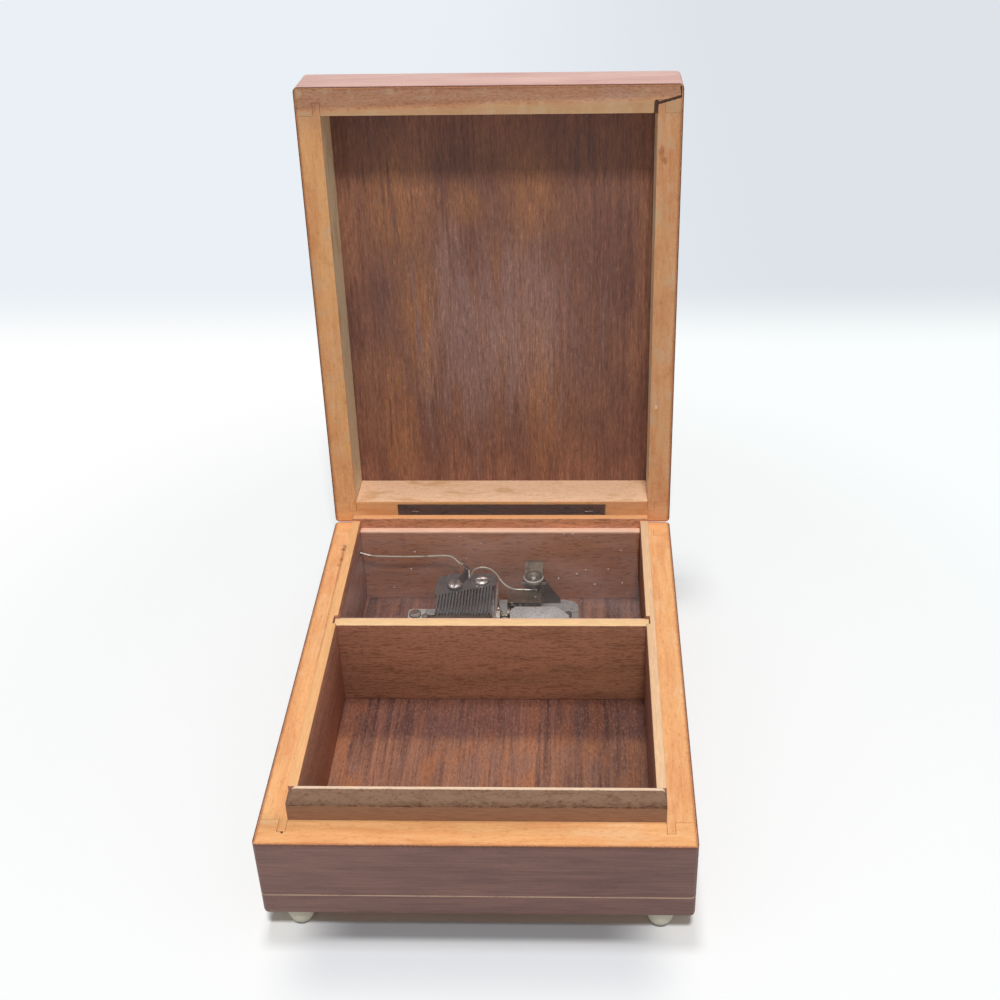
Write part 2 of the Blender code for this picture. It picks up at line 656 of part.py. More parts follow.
def make_lip(top):
    """The front lip: a round bevel along its front edge, and its upper corners cut off."""
    front = WALL_FRONT + GLUE_LINE
    left = WALL_LEFT + GLUE_LINE
    right = WALL_RIGHT - GLUE_LINE
    section = [(front, LINING_BOTTOM), (INNER_FRONT, LINING_BOTTOM), (INNER_FRONT, top)]
    for i in range(LIP_BEVEL_STEPS + 1):
        share = 1 - i / LIP_BEVEL_STEPS
        section.append((front + LIP_BEVEL_DEPTH * share ** 1.5, top - LIP_BEVEL_DROP * (1 - share) ** 1.6))
    lip = plate("front_lip", section, left, right, "X", BEECH)
    for name, end, hand, cut in (("left", left, 1, LIP_LEFT_CUT), ("right", right, -1, LIP_RIGHT_CUT)):
        corner = [(end - hand * cut, top - 2 * cut), (end + hand * 2 * cut, top + cut), (end - hand * cut, top + cut)]
        combine(lip, plate(f"lip_{name}_cut", corner, front - cut, INNER_FRONT + cut, "Y"))


def make_feet():
    """Four domed feet under the corners."""
    for depth_name, y in (("front", -HALF_DEPTH + FOOT_END_INSET), ("rear", HALF_DEPTH - FOOT_END_INSET)):
        for side_name, x in (("left", -HALF_WIDTH + FOOT_SIDE_INSET), ("right", HALF_WIDTH - FOOT_SIDE_INSET)):
            profile = [(0, -GLUE_LINE), (FOOT_RADIUS, -GLUE_LINE)]
            for i in range(1, 5):
                angle = math.radians(90 * i / 4)
                radius = FOOT_TIP_RADIUS + (FOOT_RADIUS - FOOT_TIP_RADIUS) * math.cos(angle)
                profile.append((radius, -FOOT_HEIGHT * (0.25 + 0.75 * math.sin(angle))))
            profile.append((0, -FOOT_HEIGHT))
            turned(f"foot_{depth_name}_{side_name}", profile, (x, y), CREAM, None, 20)


def make_lid(lid):
    """The lid's carcass, board and veneers, in the closed pose relative to the hinge axis."""
    offset = tuple(HINGE_AXIS)
    bottom = RIM + RIM_GAP
    top = bottom + LID_HEIGHT
    deck = top - VENEER - GLUE_LINE
    shell = envelope("lid_envelope", Vector((-HALF_WIDTH, -HALF_DEPTH, bottom)) - HINGE_AXIS,
                     Vector((HALF_WIDTH, HALF_DEPTH, top)) - HINGE_AXIS, True, lid)
    pieces = frame_of_rails("lid_", bottom, deck, SIDE_RAIL - LID_RAIL_CLEARANCE, FRONT_RAIL - LID_RAIL_CLEARANCE,
                            REAR_RAIL - LID_RAIL_CLEARANCE, lid, offset, shell)
    clear = LID_RAIL_CLEARANCE - GLUE_LINE
    block("lid_board", Vector((WALL_LEFT - clear, WALL_FRONT - clear, deck - LID_BOARD)) - HINGE_AXIS,
          Vector((WALL_RIGHT + clear, WALL_REAR + clear, deck)) - HINGE_AXIS, MAHOGANY, lid)
    skin = VENEER + GLUE_LINE
    cover = block("lid_top_veneer", Vector((-HALF_WIDTH + skin, -HALF_DEPTH + skin, top - VENEER)) - HINGE_AXIS,
                  Vector((HALF_WIDTH - skin, HALF_DEPTH - skin, top)) - HINGE_AXIS, MAHOGANY, lid)
    combine(cover, shell, "INTERSECT")
    return pieces


def knuckle_spans(owner):
    """The stretches of the hinge line that one leaf's knuckles take up: 0 for the box, 1 for the lid."""
    pitch = HINGE_LENGTH / KNUCKLE_COUNT
    return [(-HINGE_LENGTH / 2 + i * pitch, -HINGE_LENGTH / 2 + (i + 1) * pitch)
            for i in range(KNUCKLE_COUNT) if i % 2 == owner]


def hinge_screw_places():
    """Where the leaves' screws stand along the hinge."""
    return [("left", HINGE_SCREW_INSET - HINGE_LENGTH / 2), ("right", HINGE_LENGTH / 2 - HINGE_SCREW_INSET)]


def hinge_leaf(name, owner, side, parent, origin):
    """One leaf: a flat plate in the rim with its knuckles rolled round the pin."""
    y, z = origin
    face = z + side * HINGE_LEAF_GAP
    back = face + side * HINGE_LEAF
    low, high = sorted((face, back))
    reach = KNUCKLE_RADIUS + KNUCKLE_GAP
    holes = [circle(x, y - HINGE_LEAF_WIDTH + HINGE_SCREW_FROM_EDGE, HINGE_SCREW_HEAD_RADIUS + SCREW_FIT)
             for _, x in hinge_screw_places()]
    leaf = plate(name, rectangle(-HINGE_LENGTH / 2, y - HINGE_LEAF_WIDTH, HINGE_LENGTH / 2, y - reach),
                 low, high, "Z", STEEL, parent, holes)
    for i, (start, end) in enumerate(knuckle_spans(owner)):
        start += KNUCKLE_GAP / 2
        end -= KNUCKLE_GAP / 2
        web = block(f"{name}_web_{i}", (start, y - reach - 0.0004, low), (end, y - KNUCKLE_RADIUS * 0.4, high),
                    None, parent)
        roll = rod(f"{name}_roll_{i}", (y, z), start, end, KNUCKLE_RADIUS, "X", None, parent, 14)
        combine(leaf, web, "UNION")
        combine(leaf, roll, "UNION")
    bore = rod(name + "_bore", (y, z), -HINGE_LENGTH, HINGE_LENGTH, HINGE_PIN_RADIUS + HINGE_PIN_GAP, "X", None,
               parent, 12)
    return combine(leaf, bore)


def hinge_screw(name, x, y, face, side, parent):
    """A countersunk screw through the leaf: a slotted flat head and a shank."""
    head = HINGE_LEAF
    top, under = (0, -head) if side < 0 else (0, head)
    levels = (face + top, face + under, face + side * HINGE_SCREW_LENGTH)
    bm_profile = [(0, levels[0]), (HINGE_SCREW_HEAD_RADIUS, levels[0]), (HINGE_SCREW_HEAD_RADIUS, levels[1]),
                  (HINGE_SCREW_SHANK_RADIUS, levels[1]), (HINGE_SCREW_SHANK_RADIUS * 0.4, levels[2]),
                  (0, levels[2])]
    if side > 0:
        bm_profile.reverse()
    screw = turned(name, bm_profile, (x, y), STEEL, parent, 14)
    slot = block(name + "_slot", (x - 0.002, y - 0.00025, levels[0] - 0.0003), (x + 0.002, y + 0.00025,
                 levels[0] + 0.0003), None, parent)
    return combine(screw, slot)


def make_hinge(box, lid_pieces, lid):
    """The stop hinge let into both rims: leaves, pin and the lid's screws."""
    hinge_leaf("hinge_leaf_box", 0, -1, None, (HINGE_AXIS.y, HINGE_AXIS.z))
    hinge_leaf("hinge_leaf_lid", 1, 1, lid, (0, 0))
    rod("hinge_pin", (HINGE_AXIS.y, HINGE_AXIS.z), -HINGE_LENGTH / 2, HINGE_LENGTH / 2, HINGE_PIN_RADIUS, "X",
        STEEL, None, 12)
    reach = KNUCKLE_RADIUS + KNUCKLE_GAP
    half = HINGE_LENGTH / 2 + KNUCKLE_GAP
    depth = HINGE_LEAF_GAP + HINGE_LEAF + HINGE_BED_GAP
    for prefix, pieces, parent, y, z, side in (("box", box, None, HINGE_AXIS.y, HINGE_AXIS.z, -1),
                                               ("lid", lid_pieces, lid, 0, 0, 1)):
        end = y - HINGE_LEAF_WIDTH - HINGE_BED_GAP
        section = [(end, z + side * depth), (y - reach, z + side * depth), (y - reach, z + side * reach),
                   (y + reach, z + side * reach), (y + reach, z - side * reach), (end, z - side * reach)]
        bed = plate(prefix + "_hinge_bed", section, -half, half, "X", None, parent)
        combine(pieces["rear_rail"], bed)
        combine(pieces["rear_veneer"], bed)
    face = HINGE_LEAF_GAP
    for name, x in hinge_screw_places():
        y = -HINGE_LEAF_WIDTH + HINGE_SCREW_FROM_EDGE
        hinge_screw("hinge_screw_" + name, x, y, face, 1, lid)
        pilot = rod(f"hinge_pilot_{name}", (x, y), -0.001, HINGE_SCREW_LENGTH + 0.0004,
                    HINGE_SCREW_SHANK_RADIUS + SCREW_FIT, "Z", None, lid, 12)
        combine(lid_pieces["rear_rail"], pilot)


def make_stop_pin(box, linings):
    """The pin in the left rim, its hole, and the way for the wire under it."""
    x = -HALF_WIDTH + PIN_FROM_EDGE
    y = HALF_DEPTH - PIN_FROM_REAR
    closed_top = RIM + RIM_GAP - PIN_CLOSED_GAP
    top = closed_top + PIN_TRAVEL
    bottom = RIM - PIN_WIRE_DEPTH + WIRE_RADIUS + GLUE_LINE
    rod("stop_pin", (x, y), bottom, top, PIN_RADIUS, "Z", STEEL, None, 12)
    hole = rod("pin_hole", (x, y), RIM - POCKET_ROOF - 0.0005, RIM + 0.001, PIN_RADIUS + PIN_HOLE_GAP, "Z", None,
               None, 12)
    pocket_top = RIM - POCKET_ROOF
    pocket = block("wire_pocket", (x - 0.0016, y - POCKET_WIDTH / 2, pocket_top - POCKET_DEPTH),
                   (INNER_LEFT + 0.001, y + POCKET_WIDTH / 2, pocket_top))
    combine(box["left_rail"], hole)
    combine(box["left_rail"], pocket)
    combine(linings["left_lining"], pocket)
    return x, y


def make_bedplate():
    """The bedplate with its comb seat, bearing posts and pivot boss."""
    outline = rounded_rectangle(BED_LEFT, BED_FRONT, BED_RIGHT, BED_REAR, BED_CORNER)
    holes = [circle(BARREL_X, BARREL_Y, WINDING_ARBOR_RADIUS + WINDING_GAP)]
    slot_x = BED_RIGHT - BED_CORNER * 0.8
    slot_y = BED_REAR - BED_CORNER * 1.9
    holes.append(rounded_rectangle(slot_x - 0.0013, slot_y - 0.0022, slot_x + 0.0013, slot_y + 0.0022, 0.0012))
    bed = plate("bedplate", outline, BED_BOTTOM, BED_TOP, "Z", CAST, None, holes)
    combine(bed, block("bed_notch", (BED_LEFT - 0.001, BED_REAR - BED_NOTCH_LENGTH, BED_BOTTOM - 0.001),
                       (BED_LEFT + BED_NOTCH_WIDTH, BED_REAR + 0.001, BED_TOP + 0.001)))
    sink = 0.0004
    seat_left = COMB_LEFT + 0.0004
    seat_right = COMB_RIGHT - 0.0008
    cut = COMB_CORNER_CUT
    seat_plan = [(seat_left, COMB_TIPS + TREBLE_TOOTH_LENGTH + 0.0008),
                 (seat_right, COMB_TIPS + BASS_TOOTH_LENGTH + 0.0008), (seat_right, COMB_REAR - 1.6 * cut),
                 (seat_right - cut, COMB_REAR - 0.4 * cut), (seat_left + 3 * cut, COMB_REAR - 0.4 * cut),
                 (seat_left, COMB_REAR - 1.6 * cut)]
    seat = plate("comb_seat", seat_plan, BED_TOP - sink, COMB_BOTTOM - GLUE_LINE)
    combine(bed, seat, "UNION")
    tab_y = BRACKET_TAB_LENGTH / 2 + CYLINDER_Y + 0.0075
    tab_x = BRACKET_LEFT_FACE - BRACKET_TAB_WIDTH / 2
    post = rod("bracket_post", (tab_x - 0.0005, tab_y), BED_TOP - sink, CYLINDER_Z - BRACKET_TAB_BELOW_AXIS, 0.0015)
    combine(bed, post, "UNION")
    for name, x, y in pillar_places():
        pillar = rod("pillar_" + name, (x, y), BED_TOP - sink, BRIDGE_BOTTOM - GLUE_LINE, PILLAR_RADIUS)
        combine(bed, pillar, "UNION")
    boss = rod("pivot_boss", (WORM_X, WORM_Y), BED_TOP - sink, BED_TOP + 0.0022, 0.0017)
    combine(bed, boss, "UNION")
    combine(bed, rod("pivot_hole", (WORM_X, WORM_Y), BED_TOP + 0.0010, BED_TOP + 0.0040,
                     WORM_SHAFT_RADIUS + ARBOR_GAP, "Z", None, None, 12))
    for name, x, forward in comb_screw_places():
        combine(bed, rod(f"comb_screw_{name}_hole", (x, COMB_REAR - forward), COMB_BOTTOM - 0.0050, COMB_TOP,
                         COMB_SCREW_SHANK + SCREW_FIT, "Z", None, None, 12))
    return tab_x, tab_y


def pillar_places():
    """Where the bridge's pillars stand, clear of the crown teeth."""
    return [("left", BARREL_X - PILLAR_REACH_X, BARREL_Y - PILLAR_REACH_Y),
            ("right", BARREL_X + PILLAR_REACH_X, BARREL_Y - PILLAR_REACH_Y)]


def comb_screw_places():
    """The comb's two screws: name, place along X and distance forward of the comb's rear edge."""
    return [("left", COMB_SCREW_LEFT, COMB_SCREW_LEFT_FORWARD),
            ("right", COMB_SCREW_RIGHT, COMB_SCREW_RIGHT_FORWARD)]


def make_comb():
    """The steel comb: one plate with a tooth for each note, longest at the bass end."""
    left = COMB_LEFT + COMB_FIELD_MARGIN
    right = COMB_RIGHT - COMB_FIELD_MARGIN
    pitch = (right - left) / NOTE_COUNT
    cut = COMB_CORNER_CUT
    outline = [(COMB_LEFT + 3 * cut, COMB_REAR), (COMB_LEFT + 0.5 * cut, COMB_REAR - cut),
               (COMB_LEFT, COMB_REAR - 2.5 * cut), (COMB_LEFT, COMB_TIPS + TREBLE_TOOTH_LENGTH)]
    for note in range(NOTE_COUNT):
        start = left + note * pitch
        end = start + pitch * (1 - SLOT_SHARE)
        root = COMB_TIPS + tooth_length(note)
        outline += [(start, root), (start + pitch * 0.06, COMB_TIPS), (end - pitch * 0.06, COMB_TIPS), (end, root)]
    outline += [(COMB_RIGHT, COMB_TIPS + BASS_TOOTH_LENGTH), (COMB_RIGHT, COMB_REAR - 1.6 * cut),
                (COMB_RIGHT - 0.4 * cut, COMB_REAR - 0.6 * cut), (COMB_RIGHT - 1.4 * cut, COMB_REAR)]
    holes = [circle(x, COMB_REAR - forward, COMB_SCREW_SHANK + SCREW_FIT, 12)
             for _, x, forward in comb_screw_places()]
    comb = plate("comb", outline, COMB_BOTTOM, COMB_TOP, "Z", BLUED, None, holes)
    heads = {"left": COMB_TOP + CLIP_SHEET + 2 * GLUE_LINE, "right": COMB_TOP + GLUE_LINE}
    for name, x, forward in comb_screw_places():
        slotted_screw(f"comb_screw_{name}", (x, COMB_REAR - forward), heads[name],
                      80 if name == "left" else 5)
    return comb


def tooth_length(note):
    """A tooth's free length, growing from the treble end to the bass end."""
    return TREBLE_TOOTH_LENGTH + (BASS_TOOTH_LENGTH - TREBLE_TOOTH_LENGTH) * note / (NOTE_COUNT - 1)


def slotted_screw(name, centre, seat, slot_angle):
    """A domed screw with a slot across its head."""
    top = seat + COMB_SCREW_HEIGHT
    shank_end = COMB_BOTTOM - 0.0045
    profile = [(0, top), (COMB_SCREW_RADIUS * 0.6, top - 0.00012), (COMB_SCREW_RADIUS * 0.92, top - 0.0004),
               (COMB_SCREW_RADIUS, top - 0.0007), (COMB_SCREW_RADIUS, seat), (COMB_SCREW_SHANK, seat),
               (COMB_SCREW_SHANK, shank_end), (0, shank_end)]
    screw = turned(name, profile, centre, BRIGHT, None, 20)
    slot = block(name + "_slot", (-0.004, -0.00035, -0.00055), (0.004, 0.00035, 0.001))
    slot.location = (centre[0], centre[1], top)
    slot.rotation_euler = (0, 0, math.radians(slot_angle))
    return combine(screw, slot)


def make_cylinder():
    """The pinned cylinder and, on the same arbor, the drive wheel and power pinion."""
    bm = bmesh.new()
    length = CYLINDER_RIGHT - CYLINDER_LEFT
    segments = 30
    bmesh.ops.create_cone(bm, cap_ends=True, segments=segments, radius1=CYLINDER_RADIUS, radius2=CYLINDER_RADIUS,
                          depth=length)
    left = COMB_LEFT + COMB_FIELD_MARGIN
    pitch = (COMB_RIGHT - COMB_LEFT - 2 * COMB_FIELD_MARGIN) / NOTE_COUNT
    middle = (CYLINDER_LEFT + CYLINDER_RIGHT) / 2
    track_middles = [left + (note + (1 - SLOT_SHARE) / 2) * pitch - middle for note in range(NOTE_COUNT)]
    pin_width = pitch * 0.3
    for track in track_middles:
        for edge in (-pin_width / 2, pin_width / 2):
            bmesh.ops.bisect_plane(bm, geom=bm.verts[:] + bm.edges[:] + bm.faces[:], dist=1e-8,
                                   plane_co=(0, 0, track + edge), plane_no=(0, 0, 1))
    bm.faces.ensure_lookup_table()
    chosen = []
    for face in bm.faces:
        if abs(face.normal.z) > 0.5:
            continue
        centre = face.calc_center_median()
        note = min(range(NOTE_COUNT), key=lambda n: abs(track_middles[n] - centre.z))
        if abs(track_middles[note] - centre.z) > pin_width * 0.25:
            continue
        spoke = round((math.atan2(centre.y, centre.x) / (2 * math.pi) * segments) % segments)
        if (spoke * 7 + note * 11 + (spoke * note) % 5) % 9 == 0:
            chosen.append(face)
    pulled = bmesh.ops.extrude_discrete_faces(bm, faces=chosen)["faces"]
    for face in pulled:
        centre = face.calc_center_median()
        outward = Vector((centre.x, centre.y, 0)).normalized()
        for vert in face.verts:
            vert.co = centre + (vert.co - centre) * 0.6 + outward * PIN_HEIGHT
    bmesh.ops.transform(bm, matrix=Matrix.Translation((middle, CYLINDER_Y, CYLINDER_Z)) @ AXIS_TURN["X"],
                        verts=bm.verts)
    cylinder = place("cylinder", mesh_from("cylinder", bm), BRASS, None, 30)
    bore = rod("cylinder_bore", (CYLINDER_Y, CYLINDER_Z), CYLINDER_LEFT - 0.001, CYLINDER_RIGHT + 0.001,
               ARBOR_RADIUS + GLUE_LINE, "X", None, None, 12)
    combine(cylinder, bore)

    arbor = rod("cylinder_gears", (CYLINDER_Y, CYLINDER_Z), BRACKET_LEFT_FACE - BRACKET - 0.0008,
                POWER_LEFT + POWER_WIDTH + 0.0004, ARBOR_RADIUS, "X", BRIGHT, None, 12)
    drive = plate("drive_wheel_teeth", gear_outline(CYLINDER_Y, CYLINDER_Z, DRIVE_TEETH, DRIVE_MODULE, TRAIN_ANGLE),
                  DRIVE_LEFT, DRIVE_LEFT + DRIVE_WIDTH, "X")
    power = plate("power_pinion_teeth", gear_outline(CYLINDER_Y, CYLINDER_Z, POWER_TEETH, POWER_MODULE,
                                                     math.radians(-90)),
                  POWER_LEFT, POWER_LEFT + POWER_WIDTH, "X")
    hub = rod("gear_hub", (CYLINDER_Y, CYLINDER_Z), DRIVE_LEFT, POWER_LEFT + 0.0002, 0.0026, "X", None, None, 14)
    for piece in (drive, hub, power):
        combine(arbor, piece, "UNION")


def make_brackets(tab_x, tab_y):
    """The two bearing brackets of the cylinder, stamped from sheet."""
    bearing = [circle(CYLINDER_Y, CYLINDER_Z, ARBOR_RADIUS + ARBOR_GAP)]
    foot = BED_TOP + GLUE_LINE
    tab_top = CYLINDER_Z - BRACKET_TAB_BELOW_AXIS + GLUE_LINE + BRACKET
    side = [(CYLINDER_Y - 0.0040, foot), (CYLINDER_Y + 0.0040, foot), (CYLINDER_Y + 0.0052, tab_top - 3 * BRACKET),
            (tab_y + BRACKET_TAB_LENGTH / 2, tab_top - BRACKET), (tab_y + BRACKET_TAB_LENGTH / 2, tab_top),
            (CYLINDER_Y + 0.0030, tab_top), (CYLINDER_Y + 0.0016, CYLINDER_Z + 0.0032),
            (CYLINDER_Y - 0.0016, CYLINDER_Z + 0.0032), (CYLINDER_Y - 0.0034, CYLINDER_Z + 0.0012)]
    left = plate("bracket_left", side, BRACKET_LEFT_FACE - BRACKET, BRACKET_LEFT_FACE, "X", BRIGHT, None, bearing)
    tab = plate("bracket_left_tab",
                rounded_rectangle(tab_x - BRACKET_TAB_WIDTH / 2, tab_y - BRACKET_TAB_LENGTH / 2,
                                  BRACKET_LEFT_FACE - BRACKET / 2, tab_y + BRACKET_TAB_LENGTH / 2, 0.0012, 3),
                tab_top - BRACKET, tab_top, "Z")
    combine(left, tab, "UNION")

    top = COMB_TOP - 0.0001
    rear = COMB_REAR - 0.0041
    right = [(CYLINDER_Y - 0.0040, foot), (rear, foot), (rear, top), (CYLINDER_Y + 0.0030, top),
             (CYLINDER_Y, CYLINDER_Z + 0.0032), (CYLINDER_Y - 0.0034, CYLINDER_Z + 0.0012)]
    window = [(CYLINDER_Y + 0.0060, foot + 0.0030), (rear - 0.0030, foot + 0.0030),
              (rear - 0.0030, top - 0.0030), (CYLINDER_Y + 0.0060, top - 0.0030)]
    plate("bracket_right", right, BRACKET_RIGHT_FACE, BRACKET_RIGHT_FACE + BRACKET, "X", BRIGHT, None,
          [bearing[0], window])


def crown_ring(name):
    """The barrel's crown teeth: an annulus with every other sector pulled up."""
    sectors = 2 * CROWN_TEETH
    step = 2 * math.pi / sectors
    bm = bmesh.new()
    rings = []
    for radius in (CROWN_RADIUS - CROWN_FACE / 2, CROWN_RADIUS + CROWN_FACE / 2):
        rings.append(bmesh.ops.create_circle(bm, cap_ends=False, segments=sectors, radius=radius)["verts"])
    bmesh.ops.bridge_loops(bm, edges=bm.edges[:])
    narrowing = step * 0.20
    for vert in bm.verts:
        angle = math.atan2(vert.co.y, vert.co.x)
        index = round(angle / step)
        shift = narrowing / 2 if index % 2 == 0 else -narrowing / 2
        vert.co = Matrix.Rotation(shift, 3, "Z") @ vert.co
    teeth = []
    for face in bm.faces:
        centre = face.calc_center_median()
        if round(math.atan2(centre.y, centre.x) / step - 0.5) % 2 == 0:
            teeth.append(face)
    pulled = bmesh.ops.extrude_discrete_faces(bm, faces=teeth)["faces"]
    for face in pulled:
        centre = face.calc_center_median()
        tangent = Vector((-centre.y, centre.x, 0)).normalized()
        for vert in face.verts:
            across = (vert.co - centre).dot(tangent)
            vert.co -= tangent * across * 0.30
            vert.co.z += CROWN_TOOTH_HEIGHT
    rim = [edge for edge in bm.edges if edge.is_boundary]
    walls = bmesh.ops.extrude_edge_only(bm, edges=rim)["geom"]
    lowered = [item for item in walls if isinstance(item, bmesh.types.BMVert)]
    bmesh.ops.translate(bm, vec=(0, 0, FLANGE_BOTTOM - CROWN_ROOT), verts=lowered)
    bottom = [edge for edge in bm.edges if edge.is_boundary]
    bmesh.ops.bridge_loops(bm, edges=bottom)
    turn = Matrix.Rotation(math.pi + step * 0.5, 4, "Z")
    bmesh.ops.transform(bm, matrix=Matrix.Translation((BARREL_X, BARREL_Y, CROWN_ROOT)) @ turn, verts=bm.verts)
    return place(name, mesh_from(name, bm))


def make_barrel():
    """The spring barrel with its crown wheel, the winding arbor, the key and the bridge."""
    bore = WINDING_ARBOR_RADIUS + WINDING_GAP
    web = CROWN_RADIUS - CROWN_FACE / 4
    profile = [(bore, BARREL_TOP), (BARREL_RADIUS - 0.0006, BARREL_TOP), (BARREL_RADIUS, BARREL_TOP - 0.0006),
               (BARREL_RADIUS, CROWN_ROOT - 0.0004), (web, CROWN_ROOT - 0.0004), (web, FLANGE_BOTTOM + 0.0003),
               (bore, FLANGE_BOTTOM + 0.0003)]
    barrel = turned("spring_barrel", profile, (BARREL_X, BARREL_Y), BRASS, None, 36, True)
    combine(barrel, crown_ring("crown_teeth"), "UNION")

    arbor_top = BRIDGE_BOTTOM + BRIDGE_THICKNESS + 0.0004
    key_top = -KEY_GAP
    rod("winding_arbor", (BARREL_X, BARREL_Y), -KEY_GAP - KEY_HEIGHT * 0.45, arbor_top, WINDING_ARBOR_RADIUS, "Z",
        BRIGHT, None, 16)
    hub_bottom = key_top - KEY_HEIGHT
    hub = turned("winding_key", [(0, key_top), (KEY_HUB_RADIUS, key_top), (KEY_HUB_RADIUS * 0.8, hub_bottom),
                                 (0, hub_bottom)], (BARREL_X, BARREL_Y), BRASS, None, 18)
    wing = rounded_rectangle(BARREL_X - KEY_WIDTH / 2, hub_bottom - 0.0004, BARREL_X + KEY_WIDTH / 2,
                             key_top - 0.0006, 0.0018)
    blades = plate("key_wings", wing, BARREL_Y - KEY_THICKNESS / 2, BARREL_Y + KEY_THICKNESS / 2, "Y")
    combine(hub, blades, "UNION")
    combine(hub, rod("key_bore", (BARREL_X, BARREL_Y), -KEY_GAP - KEY_HEIGHT * 0.45 - 0.0002, 0.001,
                     WINDING_ARBOR_RADIUS + GLUE_LINE, "Z", None, None, 16))

    left = BARREL_X - BRIDGE_HALF_WIDTH
    right = BARREL_X + BRIDGE_HALF_WIDTH
    rear = BARREL_Y + BRIDGE_REAR
    front = BARREL_Y - PILLAR_REACH_Y - PILLAR_RADIUS
    cut = BRIDGE_CHAMFER
    trim = BRIDGE_REAR_CHAMFER
    outline = [(left + cut, front), (right - cut, front), (right, front + cut), (right, rear - 2.8 * trim),
               (right - 2 * trim, rear - 0.5 * trim), (right - 2.5 * trim, rear), (left + trim, rear),
               (left, rear - 1.2 * trim), (left, front + cut)]
    plate("barrel_bridge", outline, BRIDGE_BOTTOM, BRIDGE_BOTTOM + BRIDGE_THICKNESS, "Z", ZINC, None,
          [circle(BARREL_X, BARREL_Y, WINDING_ARBOR_RADIUS + WINDING_GAP)])


def make_train():
    """The governor's two wheels, their frame, the worm with its fan, the cock and its cap."""
    left = GOVERNOR_FRAME_LEFT
    right = GOVERNOR_FRAME_RIGHT
    train_end = GOVERNOR_FRAME_MIDDLE + GOVERNOR_SHEET + 0.0004
    train = rod("train_wheel", (TRAIN_Y, TRAIN_Z), DRIVE_LEFT - 0.0002, train_end, TRAIN_ARBOR_RADIUS, "X",
                BRASS, None, 10)
    # A gap of the train pinion faces the drive wheel's tooth.
    pinion_phase = TRAIN_ANGLE + math.pi + math.pi / TRAIN_PINION_TEETH
    combine(train, plate("train_pinion_teeth",
                         gear_outline(TRAIN_Y, TRAIN_Z, TRAIN_PINION_TEETH, DRIVE_MODULE, pinion_phase),
                         DRIVE_LEFT, DRIVE_LEFT + DRIVE_WIDTH, "X"), "UNION")
    combine(train, plate("train_wheel_teeth",
                         gear_outline(TRAIN_Y, TRAIN_Z, TRAIN_WHEEL_TEETH, TRAIN_MODULE, WORM_PINION_ANGLE),
                         TRAIN_WHEEL_LEFT, TRAIN_WHEEL_LEFT + TRAIN_WHEEL_WIDTH, "X"), "UNION")

    worm_wheel = rod("worm_wheel", (WORM_WHEEL_Y, WORM_WHEEL_Z), left - 0.0004, right - 0.0002,
                     TRAIN_ARBOR_RADIUS, "X", BRASS, None, 10)
    gap_phase = WORM_PINION_ANGLE + math.pi + math.pi / WORM_PINION_TEETH
    combine(worm_wheel, plate("worm_pinion_teeth",
                              gear_outline(WORM_WHEEL_Y, WORM_WHEEL_Z, WORM_PINION_TEETH, TRAIN_MODULE, gap_phase),
                              TRAIN_WHEEL_LEFT - 0.0003, TRAIN_WHEEL_LEFT + TRAIN_WHEEL_WIDTH + 0.0003, "X"),
            "UNION")
    half = WORM_WHEEL_WIDTH / 2
    combine(worm_wheel, plate("worm_wheel_teeth",
                              gear_outline(WORM_WHEEL_Y, WORM_WHEEL_Z, WORM_WHEEL_TEETH, WORM_MODULE, 0,
                                           0.20, 0.46),
                              WORM_X - half, WORM_X + half, "X"), "UNION")
    make_frame(left, right)
    make_worm()
    make_cock()


def make_frame(left, right):
    """The sheet frame that carries the governor's arbors."""
    front = TRAIN_Y - GOVERNOR_PIVOT_MARGIN
    step_back = BED_REAR - GOVERNOR_ROOF_FRONT
    rear = BED_REAR - GOVERNOR_FRAME_REAR
    top = BED_TOP + GOVERNOR_FRAME_TOP
    shelf = TRAIN_Z + GOVERNOR_PIVOT_MARGIN
    under = TRAIN_Z - GOVERNOR_PIVOT_MARGIN * 1.6
    foot = BED_TOP + GLUE_LINE
    train_hole = circle(TRAIN_Y, TRAIN_Z, TRAIN_ARBOR_RADIUS + ARBOR_GAP, 10)
    worm_hole = circle(WORM_WHEEL_Y, WORM_WHEEL_Z, TRAIN_ARBOR_RADIUS + ARBOR_GAP, 10)
    near_side = [(front, foot), (rear, foot), (rear, top), (step_back, top), (step_back, shelf), (front, shelf)]
    hanger = [(front, under), (rear, under), (rear, top), (step_back, top), (step_back, shelf), (front, shelf)]
    clear = BARREL_Y + CROWN_RADIUS + CROWN_FACE / 2 + 0.0006
    far_side = [(clear, foot), (rear, foot), (rear, top), (step_back, top), (step_back, under),
                (clear, CROWN_TIP + 0.0010)]
    frame = plate("governor_frame", near_side, left, left + GOVERNOR_SHEET, "X", OLIVE, None,
                  [train_hole, worm_hole])
    middle = GOVERNOR_FRAME_MIDDLE
    inner = plate("governor_frame_inner", hanger, middle, middle + GOVERNOR_SHEET, "X", None, None,
                  [train_hole, worm_hole])
    far = plate("governor_frame_far", far_side, right - GOVERNOR_SHEET, right, "X", None, None, [worm_hole])
    roof = block("governor_frame_roof", (left + GOVERNOR_SHEET / 2, step_back + 0.0001, top - GOVERNOR_SHEET),
                 (right - GOVERNOR_SHEET / 2, rear - 0.0001, top - 0.0001))
    combine(frame, roof, "UNION")
    combine(frame, inner, "UNION")
    combine(frame, far, "UNION")


